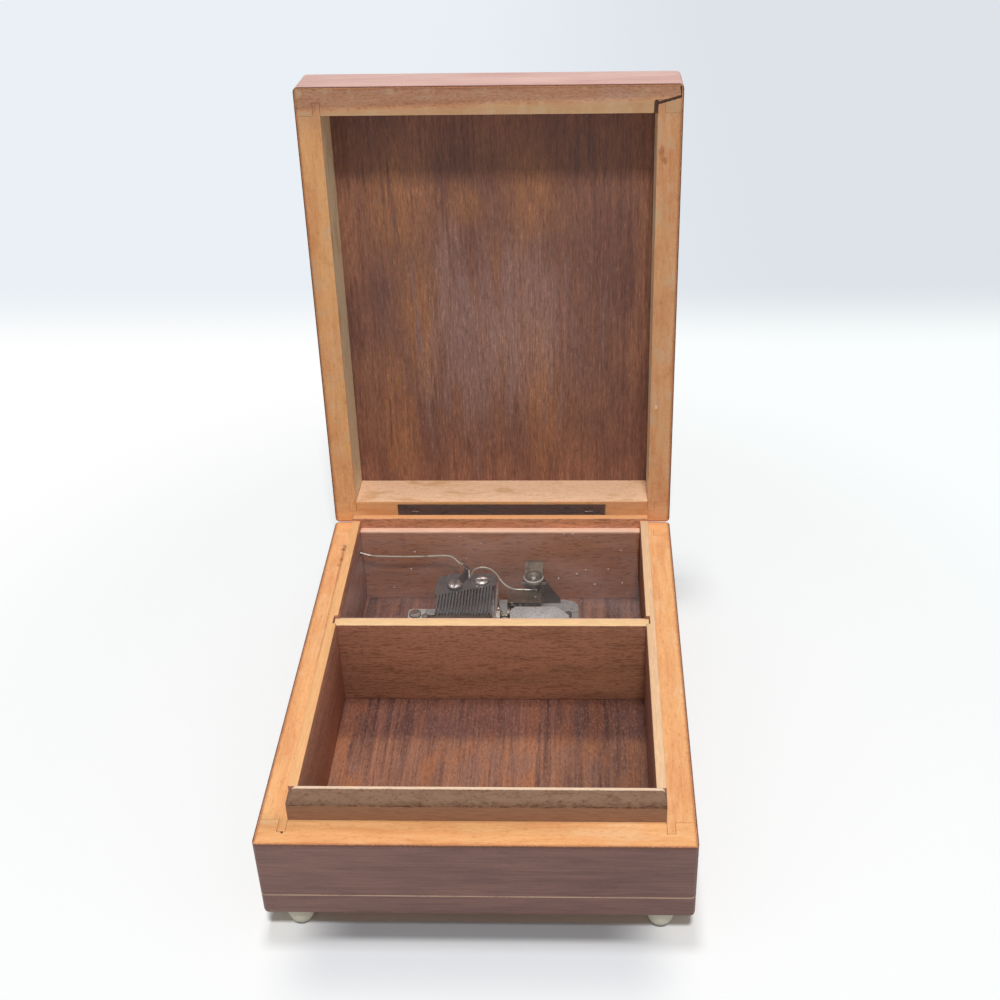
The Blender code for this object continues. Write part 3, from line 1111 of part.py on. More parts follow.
def worm_radius(height, angle):
    """The worm's radius at a height over its middle: one start, its thread cut to a ridge."""
    edge = WORM_THREAD_LENGTH / 2
    fade = min(1.0, max(0.0, (edge - abs(height)) / (WORM_PITCH * 0.5)))
    phase = (height / WORM_PITCH - angle / (2 * math.pi)) % 1
    distance = min(phase, 1 - phase)
    ridge = min(1.0, max(0.0, (0.32 - distance) / 0.20))
    root = WORM_PITCH_RADIUS - WORM_ROOT
    return root + (WORM_ROOT + WORM_CREST) * ridge * fade


def make_worm():
    """The endless screw on its shaft, with the two-bladed fan that brakes it."""
    bm = bmesh.new()
    segments = 14
    length = WORM_THREAD_LENGTH + WORM_PITCH * 0.5
    bmesh.ops.create_cone(bm, cap_ends=True, segments=segments, radius1=WORM_PITCH_RADIUS,
                          radius2=WORM_PITCH_RADIUS, depth=length)
    rings = round(length / WORM_PITCH * 5)
    for ring in range(1, rings):
        bmesh.ops.bisect_plane(bm, geom=bm.verts[:] + bm.edges[:] + bm.faces[:], dist=1e-8,
                               plane_co=(0, 0, -length / 2 + length * ring / rings), plane_no=(0, 0, 1))
    # At rest a groove of the worm faces the wheel's tooth, which points back at it along +Y.
    for vert in bm.verts:
        angle = math.atan2(vert.co.y, vert.co.x)
        radius = worm_radius(vert.co.z, angle + math.pi / 2 + math.pi)
        vert.co.x = radius * math.cos(angle)
        vert.co.y = radius * math.sin(angle)
    bmesh.ops.triangulate(bm, faces=[face for face in bm.faces if len(face.verts) == 4])
    bmesh.ops.translate(bm, vec=(WORM_X, WORM_Y, WORM_WHEEL_Z), verts=bm.verts)
    worm = place("fan_worm", mesh_from("fan_worm", bm), BRIGHT, None, 50)
    shaft_bottom = BED_TOP + 0.0013
    shaft_top = BED_TOP + COCK_END_LEVEL - ARBOR_GAP - 0.0001
    combine(worm, rod("worm_shaft", (WORM_X, WORM_Y), shaft_bottom, shaft_top, WORM_SHAFT_RADIUS, "Z", None, None,
                      10), "UNION")
    low = BED_TOP + FAN_LEVEL
    fan = block("fan_blades", (WORM_X - FAN_RADIUS, WORM_Y - FAN_BLADE / 2, low),
                (WORM_X + FAN_RADIUS, WORM_Y + FAN_BLADE / 2, low + FAN_HEIGHT))
    hub = rod("fan_hub", (WORM_X, WORM_Y), low - 0.0003, low + FAN_HEIGHT + 0.0002, WORM_SHAFT_RADIUS * 2.2, "Z",
              None, None, 14)
    combine(worm, fan, "UNION")
    combine(worm, hub, "UNION")


def make_cock():
    """The bent arm over the fan, with its foot and gusset, and the cap with the end stone screw."""
    foot = BED_TOP + GLUE_LINE
    back = BED_REAR - COCK_REAR
    sheet = COCK_THICKNESS
    top = BED_TOP + COCK_TOP
    end_low = BED_TOP + COCK_END_LEVEL
    end_high = end_low + sheet
    shoulder = back - 0.0016
    bend = WORM_Y + CAP_RADIUS
    side = [(back, foot), (back, top), (shoulder, top), (bend, end_high), (WORM_Y, end_high), (WORM_Y, end_low),
            (bend - 0.0002, end_low), (shoulder + 0.0002, top - sheet), (back - sheet, top - sheet),
            (back - sheet, foot)]
    low_x = WORM_X - COCK_WIDTH / 2
    high_x = WORM_X + COCK_WIDTH / 2
    cock = plate("governor_cock", side, low_x, high_x, "X", OLIVE)
    disc = rod("cock_end", (WORM_X, WORM_Y), end_low, end_high, COCK_END_RADIUS, "Z", None, None, 20)
    combine(cock, disc, "UNION")
    gusset_x = high_x - sheet
    gusset_top = top - GUSSET_BELOW_TOP
    gusset = [(gusset_x, foot), (gusset_x, gusset_top), (high_x, gusset_top),
              (high_x + GUSSET_REACH, foot + GUSSET_TOE), (high_x + GUSSET_REACH, foot)]
    combine(cock, plate("cock_gusset", gusset, back - sheet * 0.9, back - 0.00002, "Y"), "UNION")
    cap_low = end_high + GLUE_LINE
    rim = CAP_RADIUS
    profile = [(0, cap_low + CAP_HEIGHT * 0.85), (0.0009, cap_low + CAP_HEIGHT * 0.8),
               (0.0011, cap_low + CAP_HEIGHT * 0.35), (rim * 0.72, cap_low + CAP_HEIGHT * 0.35),
               (rim * 0.86, cap_low + CAP_HEIGHT), (rim, cap_low + CAP_HEIGHT * 0.9), (rim * 0.9, cap_low),
               (0, cap_low)]
    turned("endstone_cap", profile, (WORM_X, WORM_Y), ZINC, None, 24)


def make_stop_wire(pin_x, pin_y):
    """The clip under the comb's left screw, its beaded post, and the wire that stops the fan."""
    screw_x = COMB_SCREW_LEFT
    screw_y = COMB_REAR - COMB_SCREW_LEFT_FORWARD
    bead_x = screw_x + 0.0038
    bead_y = screw_y + 0.0068
    bead_z = COMB_TOP + 0.0024
    low = COMB_TOP + GLUE_LINE
    clip = plate("wire_clip", circle(screw_x, screw_y, COMB_SCREW_RADIUS * 0.96, 16), low, low + CLIP_SHEET, "Z",
                 BRIGHT, None, [circle(screw_x, screw_y, COMB_SCREW_SHANK + SCREW_FIT, 12)])
    along = Vector((bead_x - screw_x, bead_y - screw_y)).normalized()
    across = Vector((-along.y, along.x)) * CLIP_WIDTH / 2
    start = Vector((screw_x, screw_y)) + along * (COMB_SCREW_SHANK + 0.0004)
    end = Vector((bead_x, bead_y)) + along * 0.0009
    strip = [tuple(start - across), tuple(end - across), tuple(end + across), tuple(start + across)]
    combine(clip, plate("clip_strip", strip, low, low + CLIP_SHEET, "Z"), "UNION")
    combine(clip, rod("clip_post", (bead_x, bead_y), low, bead_z, 0.0006, "Z", None, None, 10), "UNION")
    ball = turned("clip_bead", [(0, bead_z + BEAD_RADIUS), (BEAD_RADIUS * 0.7, bead_z + BEAD_RADIUS * 0.7),
                                (BEAD_RADIUS, bead_z), (BEAD_RADIUS * 0.7, bead_z - BEAD_RADIUS * 0.7),
                                (0, bead_z - BEAD_RADIUS)], (bead_x, bead_y), None, None, 14)
    combine(clip, ball, "UNION")

    axis_y = WORM_Y - 0.0015
    fan_z = BED_TOP + FAN_LEVEL - 0.0012
    level = RIM - PIN_WIRE_DEPTH
    over = bead_z + BEAD_RADIUS + WIRE_RADIUS + 0.0002

    def above_floor(share, forward, drop):
        """A point between the left lining and the bead, below the rim."""
        return INNER_LEFT + share * (bead_x - INNER_LEFT), pin_y - forward, RIM - drop

    def above_comb(share, share_forward, height):
        """A point between the bead and the fan, above the comb's top."""
        return bead_x + share * (WORM_X - bead_x), bead_y + share_forward * (axis_y - bead_y), COMB_TOP + height

    route = [
        (pin_x - 0.0008, pin_y, level),
        (pin_x + 0.0020, pin_y, level),
        (INNER_LEFT - 0.0008, pin_y, level + 0.0001),
        above_floor(0.04, 0, 0.0021),
        above_floor(0.12, 0, 0.0029),
        above_floor(0.31, 0, 0.0032),
        above_floor(0.56, 0.0001, 0.0031),
        above_floor(0.785, 0.0003, 0.0026),
        above_floor(0.865, 0.0007, 0.0030),
        (bead_x - 0.0025, bead_y + 0.0012, over + 0.0002),
        (bead_x, bead_y - 0.0002, over),
        above_comb(0.040, 0.18, 0.0022),
        above_comb(0.042, 0.34, 0.0008),
        above_comb(0.078, 0.39, 0.0030),
        above_comb(0.135, 0.38, 0.0050),
        above_comb(0.245, 0.36, 0.0057),
        above_comb(0.355, 0.37, 0.0051),
        above_comb(0.443, 0.41, 0.0033),
        above_comb(0.51, 0.53, 0.0014),
        above_comb(0.583, 0.70, 0.0006),
        above_comb(0.667, 0.86, 0.0004),
        (WORM_X - 0.0062, axis_y + 0.0002, fan_z),
        (WORM_X - 0.0030, axis_y, fan_z),
        (WORM_X + 0.0012, axis_y, fan_z),
    ]
    tube("stop_wire", route, WIRE_RADIUS, BRIGHT)


def build():
    """Make every piece."""
    lid = bpy.data.objects.new("lid_hinge_axis", None)
    PARTS.objects.link(lid)
    lid.location = HINGE_AXIS
    lid.rotation_euler = (-LID_OPEN_ANGLE, 0, 0)
    box = make_box()
    linings = make_linings(box)
    make_feet()
    lid_pieces = make_lid(lid)
    make_hinge(box, lid_pieces, lid)
    pin_x, pin_y = make_stop_pin(box, linings)
    tab_x, tab_y = make_bedplate()
    make_comb()
    make_cylinder()
    make_brackets(tab_x, tab_y)
    make_barrel()
    make_train()
    make_stop_wire(pin_x, pin_y)
    settle()


def settle():
    """Move everything so that the origin is level with the feet, under the middle of the open box."""
    bpy.context.view_layer.update()
    graph = bpy.context.evaluated_depsgraph_get()
    corners = []
    for obj in PARTS.objects:
        if obj.type == "MESH":
            solid = obj.evaluated_get(graph)
            corners += [solid.matrix_world @ vert.co for vert in solid.data.vertices]
    low = Vector(map(min, zip(*corners)))
    high = Vector(map(max, zip(*corners)))
    shift = Vector((-(low.x + high.x) / 2, -(low.y + high.y) / 2, -low.z))
    for obj in (*PARTS.objects, *CUTTERS.objects):
        if not obj.parent:
            obj.location += shift
    print("moved by", [round(1000 * value, 4) for value in shift], "mm")


for old in list(bpy.data.objects):
    bpy.data.objects.remove(old, do_unlink=True)
PARTS = new_collection(OBJECT_NAME)
CUTTERS = new_collection("cutters")

WOOD = finish("oiled_beech", (0.70, 0.42, 0.22), 0.55)
BEECH = finish("stained_beech", (0.30, 0.13, 0.07), 0.5)
MAHOGANY = finish("mahogany_veneer", (0.22, 0.09, 0.06), 0.45)
LIGHT_WOOD = finish("light_stringing", (0.75, 0.58, 0.38), 0.5)
CREAM = finish("cream_plastic", (0.85, 0.82, 0.68), 0.35)
CLEAR = finish("clear_plastic", (0.9, 0.9, 0.9), 0.1, 0.0, 0.25)
STEEL = finish("dark_steel", (0.12, 0.10, 0.09), 0.5, 0.9)
BRIGHT = finish("bright_steel", (0.6, 0.6, 0.6), 0.3, 1.0)
BLUED = finish("tempered_steel", (0.14, 0.13, 0.16), 0.4, 0.9)
ZINC = finish("zinc_plate", (0.45, 0.46, 0.47), 0.5, 0.8)
BRASS = finish("brass", (0.55, 0.42, 0.18), 0.35, 1.0)
CAST = finish("cast_bed", (0.22, 0.21, 0.20), 0.6, 0.7)
OLIVE = finish("aged_plate", (0.22, 0.20, 0.14), 0.45, 0.8)

build()
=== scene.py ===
"""Finishes of the musical jewelry box: its woods, hinge, pane, feet and aged comb movement."""

import json
import math

import bmesh
import bpy
from mathutils import Matrix, Vector

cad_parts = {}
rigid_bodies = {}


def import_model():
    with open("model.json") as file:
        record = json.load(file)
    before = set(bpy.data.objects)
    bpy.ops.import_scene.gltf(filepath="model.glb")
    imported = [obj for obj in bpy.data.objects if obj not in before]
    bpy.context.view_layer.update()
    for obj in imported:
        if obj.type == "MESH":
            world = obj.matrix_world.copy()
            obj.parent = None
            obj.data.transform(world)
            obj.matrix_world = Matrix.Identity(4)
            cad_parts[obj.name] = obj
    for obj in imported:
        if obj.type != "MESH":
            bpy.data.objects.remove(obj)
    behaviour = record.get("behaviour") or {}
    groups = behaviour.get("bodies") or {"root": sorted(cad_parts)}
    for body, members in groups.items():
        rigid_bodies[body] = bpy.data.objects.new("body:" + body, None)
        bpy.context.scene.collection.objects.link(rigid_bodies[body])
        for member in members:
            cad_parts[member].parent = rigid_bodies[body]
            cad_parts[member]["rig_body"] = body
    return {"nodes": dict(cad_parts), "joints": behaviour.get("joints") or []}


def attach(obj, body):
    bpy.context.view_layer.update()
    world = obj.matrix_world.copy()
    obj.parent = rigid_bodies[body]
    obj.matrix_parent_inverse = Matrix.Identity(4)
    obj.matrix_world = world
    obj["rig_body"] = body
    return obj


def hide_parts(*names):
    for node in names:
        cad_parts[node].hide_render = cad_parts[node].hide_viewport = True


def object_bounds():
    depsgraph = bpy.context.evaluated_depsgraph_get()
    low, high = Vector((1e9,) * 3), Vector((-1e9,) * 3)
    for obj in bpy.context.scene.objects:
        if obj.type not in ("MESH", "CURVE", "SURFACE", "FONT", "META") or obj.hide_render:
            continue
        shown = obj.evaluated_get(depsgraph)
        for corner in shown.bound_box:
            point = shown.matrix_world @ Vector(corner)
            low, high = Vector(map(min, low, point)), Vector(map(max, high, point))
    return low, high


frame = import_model()
CAD_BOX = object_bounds()

bl_info = {
    "name": "Musical Jewelry Box",
    "version": (1, 0, 0),
    "blender": (4, 5, 0),
    "location": "3D View > Sidebar > Jewelry Box",
    "description": "Finishes the box's woods, hinge, pane and comb movement, and sets up its studio",
    "category": "Object",
}

MM = 0.001
HINGE = next(joint for joint in frame["joints"] if joint["name"] == "lid_hinge")
HINGE_AXIS = Vector(HINGE["pos_m"])
LID_TRAVEL = math.radians(HINGE["range_deg"][1])
# Takes a point of the closed lid to its place on the open one.
LID_OPENED = (Matrix.Translation(HINGE_AXIS) @ Matrix.Rotation(-LID_TRAVEL, 4, "X")
              @ Matrix.Translation(-HINGE_AXIS))

# Faces that meet at more degrees than these keep a crisp edge; turned and round pieces have their own.
CREASE = 35
TURNED_CREASE = 40
ROUND_CREASE = 50
# Points closer than this in metres are one, and faces that meet at fewer degrees are one.
SAME_POINT = 1e-6
SAME_FACE = 0.6
# The width of the pane's softened edges.
PANE_EASE = 0.0001
# The top of the left bracket's tab, where its screw and rivet sit, and how far the slot is turned.
TAB_TOP = 23.3 * MM
SLOT_TURN = math.radians(35)
# The crack at the lid's right front corner, which crosses two rails, in strokes.
LID_CRACK = (((52.1, -86.0), (60.0, -88.2), 1.0), ((51.7, -86.4), (51.5, -82.0), 1.5),
             ((59.2, -90.8), (59.6, -88.0), 0.9))

PAPER_RADIUS = 4.0
PAPER_DROP = 0.0001
# The grey that the paper throws back on the box, whatever the camera sees of it.
BOUNCE = (0.42, 0.42, 0.42)
LAMP_TARGET = Vector((0, 0, 0.06))
KEY_SPOT = Vector((0.12, -1.05, 2.2))
KEY_SIZE = 0.28
TOP_SPOT = Vector((-0.05, 0.19, 2.2))
TOP_SIZE = 0.26
# The camera's tilt, pan and roll in degrees, and its shift in parts of the picture.
CAMERA_TURN = (56.634, 1.788, -0.032)
CAMERA_SHIFT = (-0.0394, 0.0012)


def tone(red, green, blue):
    """A colour given as it looks on screen, 0 to 255, in the linear values that shaders take."""
    return tuple(c / 255 / 12.92 if c <= 10 else ((c / 255 + 0.055) / 1.055) ** 2.4
                 for c in (red, green, blue))


def colour(name, description, default):
    """A colour setting."""
    return bpy.props.FloatVectorProperty(name=name, description=description, subtype="COLOR", size=3,
                                         min=0, max=1, default=default)


def length(name, description, default):
    """A length setting in metres."""
    return bpy.props.FloatProperty(name=name, description=description, unit="LENGTH", default=default,
                                   min=0, precision=5)


def amount(name, description, default, top=1.0):
    """A plain number setting from 0 to a top."""
    return bpy.props.FloatProperty(name=name, description=description, default=default, min=0, max=top)


class WoodSettings(bpy.types.PropertyGroup):
    """Colours of the woods."""

    beech: colour("Oiled beech", "Rims of the box and lid", tone(250, 189, 129))
    beech_deep: colour("Oiled beech, deep", "Darker figure in the rims", tone(238, 170, 114))
    beech_pale: colour("Oiled beech, pale", "Pinkish patches in the rims", tone(250, 200, 150))
    beech_raw: colour("Bare beech", "Inner faces of the lid's rails", tone(255, 214, 178))
    stain: colour("Stained beech", "Faces of the linings and the partition", tone(190, 134, 104))
    outer: colour("Outer veneer", "Mahogany veneer on the outside", tone(154, 115, 105))
    outer_deep: colour("Outer veneer, deep", "Dark streaks of the outer veneer", tone(128, 94, 88))
    # The lid's front edge veneer is paler: painted light for the strong top light and sheen that this edge
    # catches.
    top_lit: colour("Faded veneer", "The lid's front edge, faded by light", tone(226, 184, 170))
    panel: colour("Panel mahogany", "Golden ribbons of the lid's panel", tone(158, 110, 86))
    panel_deep: colour("Panel mahogany, deep", "Purple ribbons of the lid's panel", tone(116, 80, 72))
    panel_warm: colour("Panel mahogany, warm", "Orange patches near the panel's front", tone(178, 123, 84))
    floor: colour("Floor mahogany", "Light stripes of the compartment floor", tone(172, 118, 90))
    floor_deep: colour("Floor mahogany, deep", "Dark stripes of the compartment floor", tone(112, 76, 66))
    line: colour("Stringing", "The light line let into the outside", tone(214, 178, 152))
    grime: colour("Grime", "Dirt worn into the lip's bevel and the veneers' edges", tone(98, 64, 46))
    worn: colour("Worn lip", "Bare wood of the lip's bevel", tone(138, 106, 84))
    ledge: colour("Ledge", "The strips that the pane lies on", tone(246, 200, 170))


class PartSettings(bpy.types.PropertyGroup):
    """Colours of the metal and plastic parts."""

    steel: colour("Dark steel", "Hinge and its screws", tone(158, 140, 132))
    comb: colour("Comb steel", "The tempered comb", tone(130, 127, 127))
    bright: colour("Bright steel", "Screws, wire and brackets", tone(214, 210, 204))
    zinc: colour("Zinc plate", "The bridge over the spring barrel", tone(196, 194, 190))
    olive: colour("Aged plate", "The governor's frame and arm", tone(128, 116, 98))
    brass: colour("Brass", "Wheels and barrel", tone(194, 162, 106))
    cast: colour("Cast bed", "The bedplate", tone(158, 154, 150))
    cream: colour("Cream plastic", "The four feet", tone(253, 249, 234))
    pane: colour("Pane haze", "Haze and dust on the clear pane", tone(206, 196, 200))
    ease: length("Eased edge", "Width of the softened edges of the wooden strips", 0.00018)
    metal_ease: length("Metal edge", "Width of the softened edges of the metal parts", 0.00006)


class StudioSettings(bpy.types.PropertyGroup):
    """Light, floor and camera."""

    sky: amount("Sky", "Strength of the even light from all round", 0.25, 4)
    key: amount("Key light", "Level of the light in front of and above the box", 0.56, 4)
    top: amount("Top light", "Level of the light straight over the box", 0.26, 4)
    paper: colour("Paper", "The floor", (0.985, 1.0, 1.0))
    far: colour("Far paper", "The background on the left of the view", tone(234, 240, 245))
    far_right: colour("Far paper, right", "The background on the right of the view", tone(221, 227, 232))
    eye: bpy.props.FloatVectorProperty(name="Eye", description="Place of the camera", size=3,
                                       subtype="TRANSLATION", default=(0.02899, -0.349517, 0.31537))
    lens: amount("Lens", "Focal length in millimetres", 49.9, 300)


class Value:
    """A socket that can be written in sums: each operator adds its Math node."""

    def __init__(self, nodes, socket):
        self.nodes = nodes
        self.socket = socket

    def math(self, operation, *values):
        """A Math node on some values."""
        return self.nodes.node("ShaderNodeMath", {"operation": operation}, dict(enumerate(values)))

    def __add__(self, other):
        return self.math("ADD", self, other)

    __radd__ = __add__

    def __sub__(self, other):
        return self.math("SUBTRACT", self, other)

    def __rsub__(self, other):
        return self.math("SUBTRACT", other, self)

    def __mul__(self, other):
        return self.math("MULTIPLY", self, other)

    __rmul__ = __mul__

    def __truediv__(self, other):
        return self.math("DIVIDE", self, other)

    def __pow__(self, other):
        return self.math("POWER", self, other)

    def __abs__(self):
        return self.math("ABSOLUTE", self)

    def over(self, other):
        """The larger of two values."""
        return self.math("MAXIMUM", self, other)

    def under(self, other):
        """The smaller of two values."""
        return self.math("MINIMUM", self, other)


def largest(values):
    """The largest of a list of values."""
    found = values[0]
    for value in values[1:]:
        found = found.over(value)
    return found


class Nodes:
    """A node tree in the making."""

    def __init__(self, tree):
        self.tree = tree

    def node(self, kind, settings=None, values=None, output=0):
        """Add a node: its settings first, then the values or links of its sockets."""
        made = self.tree.nodes.new(kind)
        for key, setting in (settings or {}).items():
            setattr(made, key, setting)
        for key, value in (values or {}).items():
            if isinstance(value, Value):
                self.tree.links.new(value.socket, made.inputs[key])
            else:
                made.inputs[key].default_value = value
        return Value(self, made.outputs[output])

    def seen(self):
        """1 for what the camera sees, also in metal or through glass, and 0 for other light."""
        rays = self.node("ShaderNodeLightPath").socket.node.outputs
        return largest([Value(self, rays[kind]) for kind in (
            "Is Camera Ray", "Is Glossy Ray", "Is Transmission Ray")])


class Paint(Nodes):
    """A material in the making, with the place on the piece in millimetres.

    On the lid the place is that of the closed lid, so that the grain follows its rails."""

    def __init__(self, name, lid=False):
        self.material = bpy.data.materials.new(name)
        self.material.use_nodes = True
        super().__init__(self.material.node_tree)
        self.shader = self.tree.nodes["Principled BSDF"]
        place = self.node("ShaderNodeTexCoord", output="Object")
        if lid:
            closing = LID_OPENED.inverted()
            place = self.node("ShaderNodeMapping", {}, {
                "Vector": place, "Location": closing.to_translation(), "Rotation": closing.to_euler()})
        self.spot = self.node("ShaderNodeVectorMath", {"operation": "SCALE"}, {
            "Vector": place, "Scale": 1 / MM})
        parts = self.node("ShaderNodeSeparateXYZ", {}, {"Vector": self.spot})
        self.x, self.y, self.z = (Value(self, parts.socket.node.outputs[axis]) for axis in "XYZ")

    def margins(self, front=CAD_BOX[0][1] / MM):
        """How far a place lies inside the box's left and right sides, and inside its front and back."""
        sides = CAD_BOX[1][0] / MM - abs(self.x)
        return sides, (self.y - front).under(CAD_BOX[1][1] / MM - self.y)

    def noise(self, size, detail, rough, seed):
        """Noise from 0 to 1 whose cells have a size in millimetres along X, Y and Z."""
        scaled = self.node("ShaderNodeMapping", {}, {
            "Vector": self.spot, "Location": (seed, seed * 0.7, seed * 1.3),
            "Scale": tuple(1 / s for s in size)})
        return self.node("ShaderNodeTexNoise", {}, {
            "Vector": scaled, "Scale": 1.0, "Detail": detail, "Roughness": rough})

    def specks(self, size, share, seed):
        """Small round spots, 1 at their middle, in about that share of cells of a size."""
        scaled = self.node("ShaderNodeMapping", {}, {
            "Vector": self.spot, "Location": (seed, seed, seed), "Scale": tuple(1 / s for s in size)})
        cells = self.node("ShaderNodeTexVoronoi", {"feature": "F1"}, {"Vector": scaled, "Scale": 1.0})
        shades = self.node("ShaderNodeSeparateColor", {}, {
            "Color": Value(self, cells.socket.node.outputs["Color"])})
        return self.rise(cells, 0.30, 0.12) * self.rise(shades, 1 - share, 1 - share * 0.6)

    def blot(self, middle, radii, ragged=0.0):
        """1 in the middle of an oval spot of the flat face, fading to 0 at its edge."""
        across = (self.x - middle[0]) / radii[0]
        up = (self.y - middle[1]) / radii[1]
        return self.rise((across * across + up * up) ** 0.5 + ragged, 1.0, 0.25)

    def stroke(self, start, end, width, ragged):
        """1 along a line between two places of the flat face, and 0 beside it."""
        run = Vector(end) - Vector(start)
        share = ((self.x - start[0]) * run.x + (self.y - start[1]) * run.y) / run.length_squared
        share = share.over(0.0).under(1.0)
        across = self.x - start[0] - share * run.x
        up = self.y - start[1] - share * run.y
        return self.rise((across * across + up * up) ** 0.5 + ragged, width * 0.55, width * 0.3)

    def rise(self, value, low, high):
        """0 below low and 1 above high, with a smooth step between; low may be the larger."""
        return self.node("ShaderNodeMapRange", {"interpolation_type": "SMOOTHSTEP"}, {
            "Value": value, "From Min": low, "From Max": high})

    def mix(self, share, first, second):
        """A colour between two colours."""
        first, second = ((*c, 1) if isinstance(c, tuple) else c for c in (first, second))
        return self.node("ShaderNodeMix", {"data_type": "RGBA"}, {0: share, 6: first, 7: second}, 2)

    def tint(self, base, share, shade):
        """A colour multiplied by a shade, by a share."""
        base, shade = ((*c, 1) if isinstance(c, tuple) else c for c in (base, shade))
        return self.node("ShaderNodeMix", {"data_type": "RGBA", "blend_type": "MULTIPLY"},
                         {0: share, 6: base, 7: shade}, 2)

    def finish(self, base, roughness, metallic=0.0, height=None, depth=0.0, **fixed):
        """Link the colour, roughness and relief to the shader, and set what is the same all over."""
        for key, value in (("Base Color", base), ("Roughness", roughness), ("Metallic", metallic)):
            if isinstance(value, Value):
                self.tree.links.new(value.socket, self.shader.inputs[key])
            else:
                self.shader.inputs[key].default_value = (*value, 1) if isinstance(value, tuple) else value
        if height is not None:
            relief = self.node("ShaderNodeBump", {}, {
                "Strength": 1.0, "Distance": depth, "Height": height})
            self.tree.links.new(relief.socket, self.shader.inputs["Normal"])
        for key, value in fixed.items():
            self.shader.inputs[key.replace("_", " ")].default_value = value
        return self.material


def along(axis, run, width):
    """The size of a noise cell that is long along the grain and narrow across it."""
    return tuple(run if name == axis else width for name in "XYZ")


def reach(name):
    """The low and high corners of a CAD node in millimetres, those of the lid in its closed place."""
    node = frame["nodes"][name]
    turn = LID_OPENED.inverted() if node["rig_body"] == "lid" else Matrix()
    points = [turn @ node.matrix_world @ vert.co / MM for vert in node.data.vertices]
    return (Vector([min(point[i] for point in points) for i in range(3)]),
            Vector([max(point[i] for point in points) for i in range(3)]))


